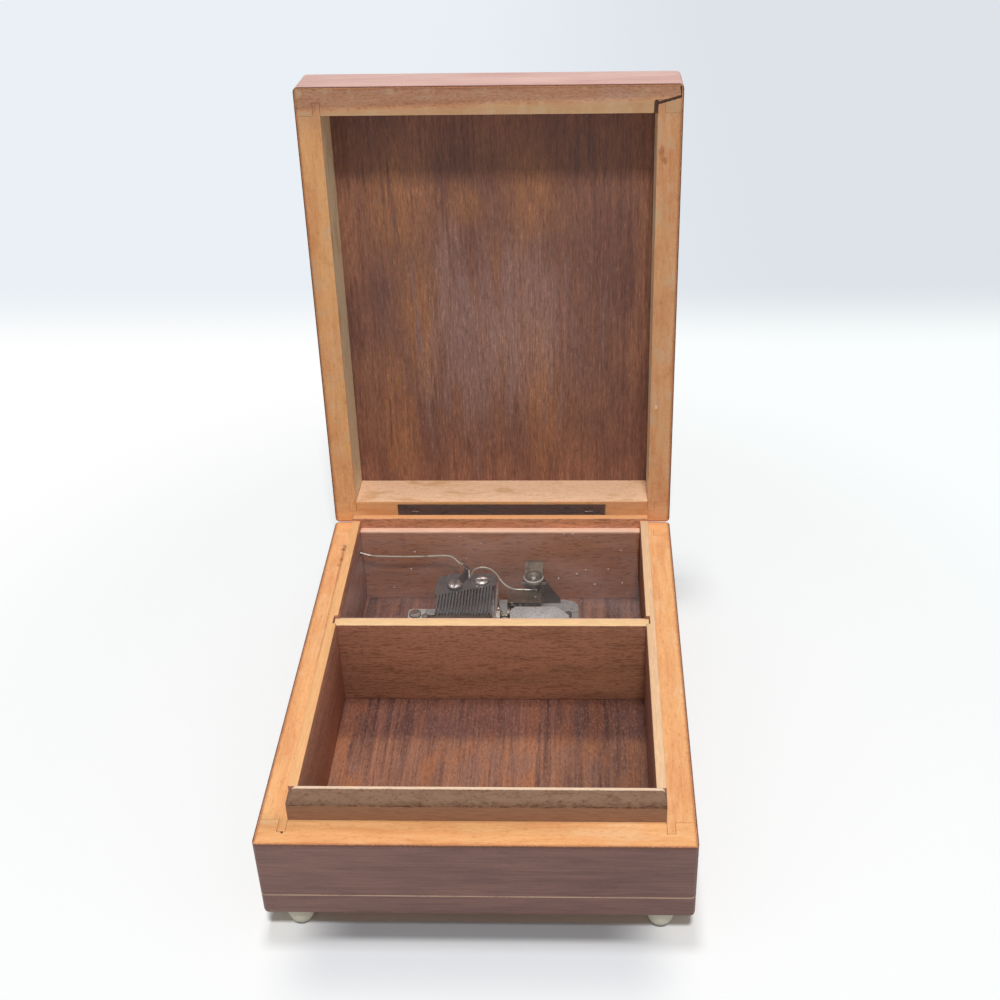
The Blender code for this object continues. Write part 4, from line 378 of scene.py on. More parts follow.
def oiled_beech(name, axis, lid=False, dark=(), blots=(), pale=()):
    """Honey-coloured beech with wavy growth lines and fine fibres; bare inside the lid.

    Dark and pale strokes are (start, end, width) and blots (middle, radii), on the rim's flat face."""
    woods = bpy.context.scene.box_woods
    paint = Paint(name, lid)
    figure = paint.noise(along(axis, 34, 5.5), 3, 0.55, 2.0)
    patch = paint.noise(along(axis, 15, 6.0), 2, 0.5, 9.0)
    warp = paint.noise(along(axis, 34, 6.0), 2, 0.5, 5.0)
    across = paint.y if axis == "X" else paint.x
    turns = across * 0.30 + warp * 3.0 + paint.z * 0.12
    rings = turns.math("FRACT", turns)
    ring = paint.rise(rings, 0.62, 0.98)
    fibre = paint.noise(along(axis, 5.0, 0.42), 3, 0.62, 1.0)
    grain = paint.noise(along(axis, 1.2, 0.55), 3, 0.75, 4.0)
    fleck = paint.rise(paint.noise(along(axis, 2.0, 0.5), 1, 0.5, 3.0), 0.62, 0.72)
    ragged = (grain - 0.5) * 0.8
    base = paint.mix(paint.rise(figure, 0.38, 0.66), tuple(woods.beech), tuple(woods.beech_deep))
    base = paint.mix(paint.rise(patch, 0.52, 0.72) * 0.6, base, tuple(woods.beech_pale))
    base = paint.tint(base, ring * 0.36, (0.88, 0.74, 0.60))
    base = paint.tint(base, paint.rise(fibre, 0.54, 0.30) * 0.42, (0.82, 0.70, 0.57))
    base = paint.tint(base, paint.rise(grain, 0.47, 0.28) * 0.52, (0.78, 0.65, 0.54))
    base = paint.tint(base, fleck * 0.34, (0.68, 0.50, 0.36))
    base = paint.mix(paint.rise(grain, 0.58, 0.76) * 0.26, base, tone(255, 222, 182))
    sides, ends = paint.margins()
    fringe = paint.rise(sides.under(ends) + ragged * 0.9, 1.35, 0.45)
    base = paint.tint(base, fringe * 0.55, (0.62, 0.44, 0.34))
    if lid:
        rim = reach("lid_left_rail")[0].z
        bare = paint.rise(paint.z + ragged, rim + 0.2, rim + 0.9)
        # The side rails' bare inner faces take a paler tone than the other rails: painted light,
        # brightening faces that the lamps leave dim.
        inside = tuple(woods.beech_raw) if axis == "X" else tone(255, 240, 206)
        raw = paint.tint(inside, paint.rise(fibre, 0.55, 0.32) * 0.6, (0.82, 0.73, 0.62))
        raw = paint.tint(raw, paint.rise(grain, 0.50, 0.30) * 0.6, (0.76, 0.67, 0.57))
        raw = paint.tint(raw, paint.rise(patch, 0.54, 0.68) * 0.7, (0.78, 0.68, 0.52))
        raw = paint.tint(raw, paint.rise(grain, 0.52, 0.70) * 0.7, (1.20, 1.16, 1.10))
        # Painted cool shade: the lid's rails turn cooler and darker towards their front end and towards
        # the right side.
        painted_cool_shade = paint.rise(paint.y + patch * 8, -68.0, -84.0)
        right = paint.rise(paint.x, 20.0, 50.0)
        base = paint.tint(base, painted_cool_shade.over(right * 0.62) * 0.8, (0.80, 0.80, 1.0))
        # The front edge of the lid's rails is darker and bluer: partly rubbing wear, partly painted cool
        # shade.
        rubbed_and_cool_shade = paint.rise(paint.y + grain * 2.5 + paint.x * 0.025, -84.0, -86.5)
        base = paint.tint(base, rubbed_and_cool_shade * 0.65, (0.60, 0.62, 0.84))
        base = paint.tint(base, rubbed_and_cool_shade * paint.rise(grain, 0.52, 0.34) * 0.5, (0.66, 0.54, 0.48))
        worn = paint.rise(paint.y + grain * 2.0 + paint.x * 0.025, -85.4, -83.6)
        worn = worn * paint.rise(paint.y, -78.0, -80.0)
        base = paint.mix(worn * (0.5 if axis == "X" else 0.12), base, tone(206, 174, 134))
        faint = paint.noise((7, 9, 9), 3, 0.6, 14.0)
        base = paint.mix(paint.rise(faint, 0.54, 0.68) * 0.5, base, tone(222, 190, 150))
        base = paint.tint(base, paint.rise(faint, 0.44, 0.30) * 0.45, (0.82, 0.70, 0.62))
        base = paint.mix(bare, base, raw)
    else:
        lip = reach("front_lip")[0].y
        soiled = paint.rise(abs(paint.y - (lip - 1.3)) + grain * 1.6 + figure * 2.6, 6.6, 2.8)
        base = paint.tint(base, soiled * paint.rise(paint.x, 46.0, 6.0) * 0.5, (0.66, 0.70, 0.66))
        near = paint.rise(paint.y + paint.x * 0.05 + figure * 3.0, lip - 1.6, lip - 3.6)
        base = paint.tint(base, near * 0.25, (0.98, 0.80, 0.66))
    for start, end, width in pale:
        base = paint.mix(paint.stroke(start, end, width, ragged * 0.2) * 0.8, base, tone(255, 222, 180))
    for middle, radii in blots:
        base = paint.tint(base, paint.blot(middle, radii, ragged * 1.6) * 0.55, (0.50, 0.36, 0.28))
    relief = fibre - fleck * 0.5
    if dark:
        crack = largest([paint.stroke(start, end, width, ragged * 0.3) for start, end, width in dark])
        base = paint.mix(crack * 0.95, base, tone(62, 36, 26))
        relief = relief - crack * 4
    return paint.finish(base, 0.52 + fibre * 0.14, height=relief, depth=0.00005, Specular_IOR_Level=0.3)


def outer_mahogany(name, axis, lid=False, top_lit=False):
    """Straight-grained veneer with fine pores, its thin edge at the rim broken and dark."""
    woods = bpy.context.scene.box_woods
    paint = Paint(name, lid)
    streak = paint.noise(along(axis, 40, 1.1), 4, 0.62, 7.0)
    cloud = paint.noise(along(axis, 26, 7.0), 2, 0.5, 4.0)
    slant = paint.noise(along(axis, 13, 0.7), 3, 0.6, 12.0)
    pore = paint.noise(along(axis, 4.0, 0.36), 3, 0.65, 9.0)
    grain = paint.noise((0.7, 0.7, 0.7), 2, 0.6, 3.0)
    # For the lid's front edge the veneer takes a paler colour and fainter pores: painted light for the top
    # light and sheen there.
    light = tuple(woods.top_lit) if top_lit else tuple(woods.outer)
    deep = (0.78 * light[0], 0.64 * light[1], 0.64 * light[2]) if top_lit else tuple(woods.outer_deep)
    fine = paint.noise(along(axis, 1.6, 0.42), 3, 0.75, 15.0)
    share = paint.rise(streak * 0.32 + cloud * 0.28 + slant * 0.40, 0.36, 0.64)
    base = paint.mix(share, light, deep)
    base = paint.tint(base, paint.rise(pore, 0.46, 0.28) * (0.25 if top_lit else 0.5), (0.66, 0.56, 0.54))
    base = paint.tint(base, paint.rise(fine, 0.46, 0.28) * (0.25 if top_lit else 0.55), (0.70, 0.62, 0.60))
    base = paint.tint(base, paint.rise(fine, 0.58, 0.76) * 0.5, (1.26, 1.22, 1.18))
    # Painted shade: the veneers that run along X, except the lid's front edge, grow darker towards the
    # right.
    if axis == "X" and not top_lit:
        base = paint.tint(base, paint.rise(paint.x, -20.0, 50.0) * 0.45, (0.74, 0.70, 0.72))
    low, high = reach("lid_front_veneer" if lid else "front_veneer")
    level = low.z if lid else high.z
    near = paint.rise(abs(paint.z - level) + (grain - 0.5) * 0.9, 0.62, 0.20)
    sides, ends = paint.margins(low.y)
    depth = sides if axis == "Y" else ends.under(sides)
    inner = paint.rise(depth + (grain - 0.5) * 0.6, 0.22, 0.48)
    brink = paint.mix(inner, tone(122, 82, 60), tuple(woods.beech_deep))
    base = paint.mix(near * 0.8, base, brink)
    soft = paint.rise(abs(paint.z - level) + (grain - 0.5) * 2.2, 1.5, 0.2)
    base = paint.tint(base, soft * 0.5, (0.80, 0.62, 0.54))
    return paint.finish(base, 0.40 + pore * 0.16, height=pore, depth=0.00004, Specular_IOR_Level=0.4)


def panel_mahogany(name):
    """The lid's panel: golden and purple ribbons, warm patches and short bright and dark pores."""
    woods = bpy.context.scene.box_woods
    paint = Paint(name, True)
    ribbon = paint.noise((17, 170, 30), 2, 0.6, 3.0)
    patch = paint.noise((14, 34, 30), 3, 0.55, 6.0)
    fine = paint.noise((1.2, 30, 5), 3, 0.62, 8.0)
    hair = paint.noise((0.55, 12, 3), 2, 0.6, 1.0)
    pore = paint.noise((0.42, 2.8, 2), 3, 0.7, 2.0)
    ragged = (ribbon - 0.5) * 2.0 + (fine - 0.5) * 2.6 + (hair - 0.5) * 0.8
    share = paint.rise(ribbon * 0.40 + patch * 0.34 + fine * 0.26, 0.36, 0.64)
    base = paint.mix(share, tuple(woods.panel_deep), tuple(woods.panel))
    warm = largest([paint.blot(middle, radii, ragged) for middle, radii in (
        ((-31, -50), (15, 26)), ((-9, -50), (9, 14)), ((12, -54), (13, 24)),
        ((-27, -12), (9, 36)), ((14, 24), (10, 44)), ((-36, 30), (8, 34)))])
    base = paint.mix(warm * paint.rise(fine, 0.26, 0.56) * 0.70, base, tuple(woods.panel_warm))
    # Painted sheen: a pale cloud in the middle of the panel stands for the reflection on its satin finish.
    painted_sheen = paint.blot((2, -4), (32, 46), ragged)
    base = paint.mix(painted_sheen * 0.38, base, tone(196, 160, 150))
    base = paint.tint(base, paint.rise(fine, 0.52, 0.34) * 0.34, (0.72, 0.60, 0.58))
    base = paint.tint(base, paint.rise(hair, 0.50, 0.32) * 0.50, (0.64, 0.52, 0.50))
    base = paint.tint(base, paint.rise(pore, 0.48, 0.32) * 0.66, (0.54, 0.44, 0.43))
    base = paint.tint(base, paint.rise(pore, 0.52, 0.68) * 0.80, (1.60, 1.54, 1.50))
    return paint.finish(base, 0.42 + pore * 0.14, height=pore, depth=0.00004, Specular_IOR_Level=0.4)


def floor_mahogany(name):
    """The compartment floor: narrow stripes crossed by rows of light and dark dashes."""
    woods = bpy.context.scene.box_woods
    paint = Paint(name)
    stripe = paint.noise((1.9, 75, 20), 3, 0.6, 4.0)
    fine = paint.noise((0.8, 26, 5), 3, 0.62, 5.0)
    patch = paint.noise((9, 17, 9), 2, 0.5, 8.0)
    pore = paint.noise((0.5, 2.2, 2), 3, 0.75, 6.0)
    dash = paint.noise((0.62, 1.5, 1), 2, 0.8, 2.0)
    glow = paint.noise((6, 26, 9), 2, 0.5, 11.0)
    share = paint.rise(stripe * 0.42 + fine * 0.40 + patch * 0.18, 0.36, 0.64)
    base = paint.mix(share, tuple(woods.floor_deep), tuple(woods.floor))
    base = paint.tint(base, paint.rise(stripe, 0.44, 0.34) * 0.5, (0.62, 0.62, 0.66))
    base = paint.mix(paint.rise(glow, 0.48, 0.66) * 0.6, base, tone(176, 112, 74))
    base = paint.mix(paint.rise(patch, 0.54, 0.72) * 0.35, base, tone(128, 98, 94))
    # Painted shade: the floor grows darker and cooler towards the right.
    right = paint.rise(paint.x, 12.0, 44.0)
    base = paint.tint(base, right * 0.9, (0.58, 0.60, 0.66))
    # Painted shade: the floor is darker in a band before the partition, and darker and cooler on the left
    # behind it.
    behind = reach("partition")[0].y - paint.y - patch * 3
    shaded = paint.rise(behind, 20.0, 14.0) * paint.rise(behind, -3.0, -1.0)
    base = paint.tint(base, shaded * 0.85, (0.50, 0.45, 0.56))
    past = paint.rise(behind, -1.0, -3.0) * paint.rise(paint.x, 20.0, -10.0)
    base = paint.tint(base, past, (0.66, 0.64, 0.72))
    base = paint.tint(base, paint.rise(pore, 0.48, 0.32) * 0.66, (0.52, 0.42, 0.40))
    base = paint.tint(base, paint.rise(pore, 0.54, 0.70) * 0.60, (1.38, 1.30, 1.24))
    base = paint.mix(paint.rise(dash, 0.52, 0.70) * 0.22, base, tone(200, 152, 124))
    base = paint.tint(base, paint.rise(dash, 0.46, 0.32) * 0.5, (0.56, 0.46, 0.44))
    return paint.finish(base, 0.44 + pore * 0.14, height=pore, depth=0.00005, Specular_IOR_Level=0.4)


def stained_beech(name, axis, crest, faces=(1.0, 1.0, 1.0), below=(1.0, 1.0, 1.0)):
    """Stained lining wood with many short dark flecks, and its top edge bare and light."""
    woods = bpy.context.scene.box_woods
    paint = Paint(name)
    figure = paint.noise(along(axis, 30, 4.5), 3, 0.55, 1.0)
    fibre = paint.noise(along(axis, 5.0, 0.5), 3, 0.62, 3.0)
    fleck = paint.rise(paint.noise(along(axis, 3.4, 0.55), 2, 0.5, 8.0), 0.54, 0.64)
    tick = paint.rise(paint.noise(along(axis, 1.7, 0.42), 2, 0.6, 5.0), 0.50, 0.62)
    grain = paint.noise((0.6, 0.6, 0.6), 2, 0.6, 4.0)
    # Each wall's stain is multiplied by its own brightness: painted light, standing for how much light
    # reaches that wall.
    light = tuple(c * f for c, f in zip(woods.stain, faces))
    base = paint.mix(paint.rise(figure, 0.36, 0.66), light, tuple(0.80 * c for c in light))
    base = paint.tint(base, paint.rise(fibre, 0.50, 0.30) * 0.36, (0.74, 0.64, 0.58))
    base = paint.tint(base, fleck.over(tick * 0.8) * 0.60, (0.46, 0.38, 0.34))
    low, high = reach(name.replace("_beech", ""))
    pane = reach("cover_pane")[0].z
    # Painted shade: the walls are darker below the pane's level.
    base = paint.tint(base, paint.rise(paint.z, pane, pane - 0.4), below)
    # Painted shade: darker near the floor, at the foot of each wall.
    base = paint.tint(base, paint.rise(paint.z, low.z + 3.2, low.z + 0.4) * 0.4, (0.62, 0.58, 0.62))
    # Painted shade: darker and cooler towards the left.
    base = paint.tint(base, paint.rise(paint.x, -26.0, -50.0) * 0.35, (0.76, 0.72, 0.88))
    edge = paint.rise(paint.z + grain * 0.25, high.z - 0.10, high.z + 0.06)
    pale = paint.mix(paint.rise(fibre, 0.40, 0.66), tuple(0.88 * c for c in crest), crest)
    base = paint.mix(edge, base, pale)
    return paint.finish(base, 0.50 + fibre * 0.16, height=fibre - fleck * 0.3, depth=0.00005,
                        Specular_IOR_Level=0.35)


def ledge_beech(name):
    """The boards that the pane lies on: stained walls with a pinkish top edge."""
    woods = bpy.context.scene.box_woods
    paint = Paint(name)
    level = reach("rear_ledge")[1].z
    figure = paint.noise((30, 4.5, 4.5), 3, 0.55, 1.0)
    fibre = paint.noise((5.0, 0.5, 0.5), 3, 0.6, 2.0)
    fleck = paint.rise(paint.noise((3.6, 1.0, 0.75), 2, 0.5, 8.0), 0.55, 0.64)
    wall = tuple(c * f for c, f in zip(woods.stain, (0.98, 0.90, 0.82)))
    base = paint.mix(paint.rise(figure, 0.36, 0.66), wall, tuple(0.84 * c for c in wall))
    base = paint.tint(base, fleck * 0.55, (0.50, 0.42, 0.40))
    top = paint.rise(paint.z + (fibre - 0.5) * 0.3, level - 0.8, level - 0.5)
    base = paint.tint(paint.mix(top, base, tuple(woods.ledge)),
                      paint.rise(fibre, 0.52, 0.32) * 0.4, (0.80, 0.68, 0.62))
    return paint.finish(base, 0.5 + fibre * 0.1, height=fibre, depth=0.00004, Specular_IOR_Level=0.3)


def lip_wood(name):
    """The front lip: stained face, a worn and mottled bevel and a light crest."""
    woods = bpy.context.scene.box_woods
    paint = Paint(name)
    high = reach("front_lip")[1]
    fibre = paint.noise((5.0, 0.5, 0.5), 3, 0.62, 2.0)
    blotch = paint.noise((6.0, 2.0, 2.0), 3, 0.65, 4.0)
    grit = paint.noise((1.4, 0.6, 0.6), 3, 0.75, 6.0)
    pores = paint.rise(paint.noise((1.3, 0.6, 0.6), 1, 0.5, 1.0), 0.60, 0.70)
    light = tuple(woods.stain)
    light = (light[0] * 0.70, light[1] * 0.80, light[2] * 0.80)
    face = paint.mix(paint.rise(fibre, 0.36, 0.66), light, tuple(0.78 * c for c in light))
    bevel = paint.rise(paint.z + (blotch - 0.5) * 0.9, high.z - 2.95, high.z - 2.45)
    dirt = paint.rise(blotch * 0.60 + grit * 0.45, 0.46, 0.66)
    low_side = paint.rise(paint.z + blotch * 1.2, high.z - 0.4, high.z - 1.9)
    share = 0.40 + 0.35 * low_side + 0.20 * paint.rise(paint.x, -20.0, 36.0)
    worn = paint.mix(dirt * share, tuple(woods.worn), tuple(woods.grime))
    worn = paint.tint(worn, pores * 0.6, (0.45, 0.38, 0.34))
    base = paint.mix(bevel, face, worn)
    seam = paint.rise(abs(paint.z - high.z + 2.7 + (blotch - 0.5) * 0.9), 0.28, 0.05)
    base = paint.tint(base, seam * paint.rise(grit, 0.40, 0.60) * 0.9, (0.36, 0.28, 0.24))
    crest = paint.rise(paint.y + (grit - 0.5) * 0.6, high.y - 1.1, high.y - 0.75)
    crest = crest * paint.rise(paint.z, high.z - 0.9, high.z - 0.4)
    base = paint.mix(crest * (0.70 + 0.35 * fibre), base, tone(254, 222, 192))
    base = paint.tint(base, paint.rise(fibre, 0.48, 0.30) * 0.35, (0.72, 0.64, 0.58))
    return paint.finish(base, 0.55 + grit * 0.2, height=fibre - dirt * 0.4, depth=0.00009,
                        Specular_IOR_Level=0.25)


def stringing(name):
    """The thin light line, fading where polish has covered it."""
    woods = bpy.context.scene.box_woods
    paint = Paint(name)
    fade = paint.noise((14, 14, 3), 3, 0.6, 2.0)
    fine = paint.noise((1.2, 1.2, 0.4), 2, 0.6, 5.0)
    cover = paint.rise(fade * 0.7 + fine * 0.3, 0.46, 0.66) * 0.8
    base = paint.mix(cover, tuple(woods.line), tuple(woods.outer))
    return paint.finish(base, 0.45 + fine * 0.1, height=fine, depth=0.00003)


def clear_pane(name):
    """Clear plastic with a faint haze, dust and fine scratches."""
    parts = bpy.context.scene.box_parts
    paint = Paint(name)
    haze = paint.noise((22, 16, 10), 3, 0.6, 3.0)
    dust = paint.specks((1.5, 1.5, 1.5), 0.018, 4.0)
    grain = paint.specks((0.7, 0.7, 0.7), 0.04, 8.0)
    scratch = paint.noise((0.22, 9, 3), 2, 0.5, 6.0)
    cover = paint.rise(haze, 0.30, 0.75) * 0.045 + 0.016
    cover = cover.over(dust * 0.7).over(grain * 0.4) + paint.rise(scratch, 0.72, 0.84) * 0.12
    material = paint.finish(tuple(parts.pane), 0.12 + haze * 0.1, height=scratch, depth=0.00002,
                            Specular_IOR_Level=0.5)
    paint.tree.links.new(cover.socket, paint.shader.inputs["Alpha"])
    return material


def cream_plastic(name):
    """Moulded feet, yellowed unevenly."""
    parts = bpy.context.scene.box_parts
    paint = Paint(name)
    cloud = paint.noise((3.5, 3.5, 3.5), 3, 0.6, 2.0)
    scuff = paint.noise((0.6, 0.6, 0.6), 3, 0.7, 5.0)
    base = paint.tint(paint.mix(cloud, tuple(parts.cream), tone(238, 230, 196)),
                      paint.rise(scuff, 0.58, 0.75) * 0.4, (0.86, 0.80, 0.68))
    return paint.finish(base, 0.34 + scuff * 0.2, height=scuff, depth=0.00004)


def aged_metal(name, shade, rough, stain, stained, grain=(1.2, 1.2, 1.2), shine=1.0, lid=False):
    """Metal with tarnish in patches, fine brushed lines and small pits."""
    paint = Paint(name, lid)
    patch = paint.noise(tuple(3.2 * g for g in grain), 4, 0.65, 3.0)
    brushed = paint.noise(tuple(0.16 * g for g in grain), 3, 0.6, 5.0)
    pit = paint.specks(tuple(0.35 * g for g in grain), 0.18, 7.0)
    cover = paint.rise(patch, 0.46, 0.68) * stained
    base = paint.mix(cover.over(pit * stained), tuple(shade), stain)
    base = paint.tint(base, paint.rise(brushed, 0.54, 0.34) * 0.5, (0.76, 0.75, 0.74))
    return paint.finish(base, cover * 0.3 + brushed * 0.16 + (rough - 0.08), shine * (1 - cover * 0.5),
                        height=brushed - pit * 0.6, depth=0.00003)


def zinc_plate(name):
    """Galvanised bridge: light grey with fine dark speckle."""
    parts = bpy.context.scene.box_parts
    paint = Paint(name)
    spangle = paint.noise((0.55, 0.55, 0.55), 3, 0.75, 2.0)
    cloud = paint.noise((4, 4, 4), 2, 0.5, 4.0)
    base = paint.mix(paint.rise(spangle, 0.50, 0.66) * 0.8, tuple(parts.zinc), tone(116, 112, 108))
    base = paint.tint(base, paint.rise(cloud, 0.45, 0.7) * 0.5, (0.86, 0.84, 0.82))
    return paint.finish(base, 0.50 + spangle * 0.2, 0.45, height=spangle, depth=0.00005)


def wire_steel(name):
    """The stop wire: pale dull steel with dark marks, and a dark bead where the clip holds it."""
    paint = Paint(name)
    mark = paint.rise(paint.noise((2.4, 2.4, 2.4), 2, 0.6, 3.0), 0.58, 0.66)
    fine = paint.noise((0.5, 0.5, 0.5), 3, 0.6, 1.0)
    bead = paint.blot((-11.6, 42.4), (2.0, 2.0))
    base = paint.mix(mark * 0.75, tone(190, 180, 166), tone(92, 80, 70))
    base = paint.mix(paint.rise(bead, 0.05, 0.5), base, tone(66, 56, 54))
    return paint.finish(base, 0.40 + fine * 0.2, 0.7, height=fine, depth=0.00003)


def cap_steel(name):
    """The endstone's cap: a dark face, a painted highlight on the front half of its rim, and a bright
    middle.
    """
    parts = bpy.context.scene.box_parts
    paint = Paint(name)
    low, high = reach("endstone_cap")
    middle = (low + high) / 2
    across = paint.x - middle.x
    up = paint.y - middle.y
    far = (across * across + up * up) ** 0.5
    fine = paint.noise((0.6, 0.6, 0.6), 3, 0.7, 2.0)
    radius = (high.x - low.x) / 2
    # Painted highlight: the rim is bright only on its front half.
    rim = paint.rise(far + (fine - 0.5) * 0.3, radius - 0.55, radius - 0.3) * paint.rise(up, 2.6, -1.0)
    dot = paint.rise(far + (fine - 0.5) * 0.3, 1.05, 0.7)
    bright = (rim * 0.9).over(dot * 0.7)
    base = paint.mix(bright, tuple(0.5 * c for c in parts.olive), tone(190, 184, 176))
    return paint.finish(base, 0.44 + fine * 0.16, 0.6, height=fine, depth=0.00003)


def add_piece(name, bm, body, material, crease):
    """Write a bmesh as a finished piece that rides on a body."""
    mesh = bpy.data.meshes.new(name)
    bm.to_mesh(mesh)
    bm.free()
    mesh.shade_smooth()
    mesh.set_sharp_from_angle(angle=math.radians(crease))
    mesh.materials.append(material)
    piece = bpy.data.objects.new(name, mesh)
    bpy.context.scene.collection.objects.link(piece)
    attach(piece, body)
    return piece


def ease_edges(names, material, ease=0.0, crease=CREASE):
    """Copy CAD nodes with their triangles merged and their sharp edges softened, to stand for them."""
    for name in names:
        node = frame["nodes"][name]
        bm = bmesh.new()
        bm.from_mesh(node.data)
        bmesh.ops.remove_doubles(bm, verts=bm.verts, dist=SAME_POINT)
        bmesh.ops.dissolve_limit(bm, angle_limit=math.radians(SAME_FACE), verts=bm.verts, edges=bm.edges)
        if ease:
            sharp = [edge for edge in bm.edges if edge.calc_face_angle(0) > math.radians(crease)]
            bmesh.ops.bevel(bm, geom=sharp, offset=ease, offset_type="OFFSET", segments=2, profile=0.5,
                            affect="EDGES", material=-1, clamp_overlap=True)
        piece = add_piece(name + "_eased", bm, node["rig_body"], material, crease)
        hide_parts(name)


def slotted_head(radius, height, slot_width, slot_depth, turn):
    """A screw head with its top at zero: a bevelled disc with a slot across it, or none."""
    bm = bmesh.new()
    bmesh.ops.create_cone(bm, cap_ends=True, segments=28, radius1=radius, radius2=radius, depth=height)
    bmesh.ops.translate(bm, vec=(0, 0, -height / 2), verts=bm.verts)
    rim = [edge for edge in bm.edges if all(abs(vert.co.z) < 1e-7 for vert in edge.verts)]
    bmesh.ops.bevel(bm, geom=rim, offset=height * 0.22, segments=2, profile=0.5,
                    affect="EDGES", material=-1)
    if slot_width:
        for side in (-1, 1):
            bmesh.ops.bisect_plane(bm, geom=bm.verts[:] + bm.edges[:] + bm.faces[:], dist=1e-8,
                                   plane_co=(0, side * slot_width / 2, 0), plane_no=(0, 1, 0))
        top = [face for face in bm.faces
               if face.normal.z > 0.9 and abs(face.calc_center_median().y) < slot_width * 0.4
               and abs(face.calc_center_median().z) < 1e-6]
        sunk = bmesh.ops.extrude_face_region(bm, geom=top)["geom"]
        bmesh.ops.delete(bm, geom=top, context="FACES_ONLY")
        bmesh.ops.translate(bm, vec=(0, 0, -slot_depth),
                            verts=[v for v in sunk if isinstance(v, bmesh.types.BMVert)])
    bmesh.ops.recalc_face_normals(bm, faces=bm.faces)
    bmesh.ops.rotate(bm, cent=(0, 0, 0), matrix=Matrix.Rotation(turn, 3, "Z"), verts=bm.verts)
    return bm


class BOX_OT_rails(bpy.types.Operator):
    """Finish the beech rails of the box and the lid, and the base board"""

    bl_idname = "jewelry_box.rails"
    bl_label = "Rails"

    def execute(self, context):
        ease = context.scene.box_parts.ease
        marks = {
            "beech_along_x": {"dark": [((-52.8, -86.7), (-52.5, -87.3), 0.7)],
                              "pale": [((-53.5, -82.9), (-52.8, -86.9), 0.7),
                                       ((52.9, -82.5), (52.7, -86.9), 0.5)]},
            "beech_along_y": {"blots": [((-54.4, 38.9), (1.3, 1.9)), ((-55.1, 35.8), (1.0, 1.4)),
                                        ((-54.6, 45.2), (1.5, 1.2))]},
            "lid_beech_along_x": {"dark": LID_CRACK},
            "lid_beech_along_y": {"dark": LID_CRACK,
                                  "blots": [((53.6, -71.0), (1.4, 3.0)), ((54.6, -68.2), (1.2, 1.6))],
                                  "pale": [((54.1, 16.5), (54.2, 17.1), 1.1)]},
        }
        for prefix, lid in (("", False), ("lid_", True)):
            for axis, names in (("X", ("front_rail", "rear_rail")), ("Y", ("left_rail", "right_rail"))):
                label = f"{prefix}beech_along_{axis.lower()}"
                material = oiled_beech(label, axis, lid, **marks[label])
                ease_edges([prefix + name for name in names], material)
        ease_edges(["base_board"], oiled_beech("base_beech", "X"), ease)
        return {"FINISHED"}


class BOX_OT_veneers(bpy.types.Operator):
    """Finish the veneers, the lid's panel, the floor and the light line"""

    bl_idname = "jewelry_box.veneers"
    bl_label = "Veneers"

    def execute(self, context):
        ends = outer_mahogany("mahogany_along_x", "X")
        sides = outer_mahogany("mahogany_along_y", "Y")
        ease_edges(["front_veneer", "rear_veneer"], ends)
        ease_edges(["left_veneer", "right_veneer"], sides)
        ease_edges(["lid_front_veneer"], outer_mahogany("lid_front_mahogany", "X", True, True))
        ease_edges(["lid_rear_veneer"], outer_mahogany("lid_rear_mahogany", "X", True))
        lid_sides = outer_mahogany("lid_side_mahogany", "Y", True)
        ease_edges(["lid_left_veneer", "lid_right_veneer", "lid_top_veneer"], lid_sides)
        ease_edges(["lid_board"], panel_mahogany("panel_mahogany"))
        ease_edges(["floor_veneer"], floor_mahogany("floor_mahogany"))
        ease_edges(["stringing_line"], stringing("stringing"))
        return {"FINISHED"}


class BOX_OT_linings(bpy.types.Operator):
    """Finish the linings, the partition, the lip and the ledges"""

    bl_idname = "jewelry_box.linings"
    bl_label = "Linings"

    def execute(self, context):
        ease = context.scene.box_parts.ease
        woods = context.scene.box_woods
        # Per wall: the stain's brightness, which is painted light, and its darkening below the pane, which
        # is painted shade.
        for name, axis, crest, faces, below in (
                ("left_lining", "Y", tuple(woods.beech), (1.42, 1.46, 1.56), (0.9, 0.9, 0.9)),
                ("right_lining", "Y", tone(246, 202, 158), (0.95, 0.95, 1.0), (0.8, 0.8, 0.9)),
                ("rear_lining", "X", tuple(woods.beech_deep), (1.5, 1.42, 1.25), (0.5, 0.5, 0.53)),
                ("partition", "X", tone(255, 212, 158), (1.0, 1.0, 1.0), (1.0, 1.0, 1.0))):
            ease_edges([name], stained_beech(name + "_beech", axis, crest, faces, below), ease)
        ease_edges(["rear_ledge", "partition_ledge"], ledge_beech("ledge_beech"), ease)
        ease_edges(["front_lip"], lip_wood("lip_wood"), ease * 1.4)
        return {"FINISHED"}


class BOX_OT_pane_and_feet(bpy.types.Operator):
    """Finish the clear pane and the cream feet"""

    bl_idname = "jewelry_box.pane_and_feet"
    bl_label = "Pane and Feet"

    def execute(self, context):
        ease_edges(["cover_pane"], clear_pane("clear_pane"), PANE_EASE)
        feet = sorted(name for name in frame["nodes"] if name.startswith("foot_"))
        ease_edges(feet, cream_plastic("cream_plastic"), crease=ROUND_CREASE)
        return {"FINISHED"}


class BOX_OT_hinge(bpy.types.Operator):
    """Finish the hinge's leaves, its pin and its screws"""

    bl_idname = "jewelry_box.hinge"
    bl_label = "Hinge"

    def execute(self, context):
        shade = context.scene.box_parts.steel
        for label, lid, names in (
                ("hinge_steel", False, ("hinge_leaf_box", "hinge_pin")),
                ("hinge_steel_lid", True, ("hinge_leaf_lid", "hinge_screw_left", "hinge_screw_right"))):
            material = aged_metal(label, shade, 0.5, tone(64, 48, 38), 0.7, (3, 1, 1), lid=lid)
            ease_edges(names, material, crease=ROUND_CREASE)
        return {"FINISHED"}


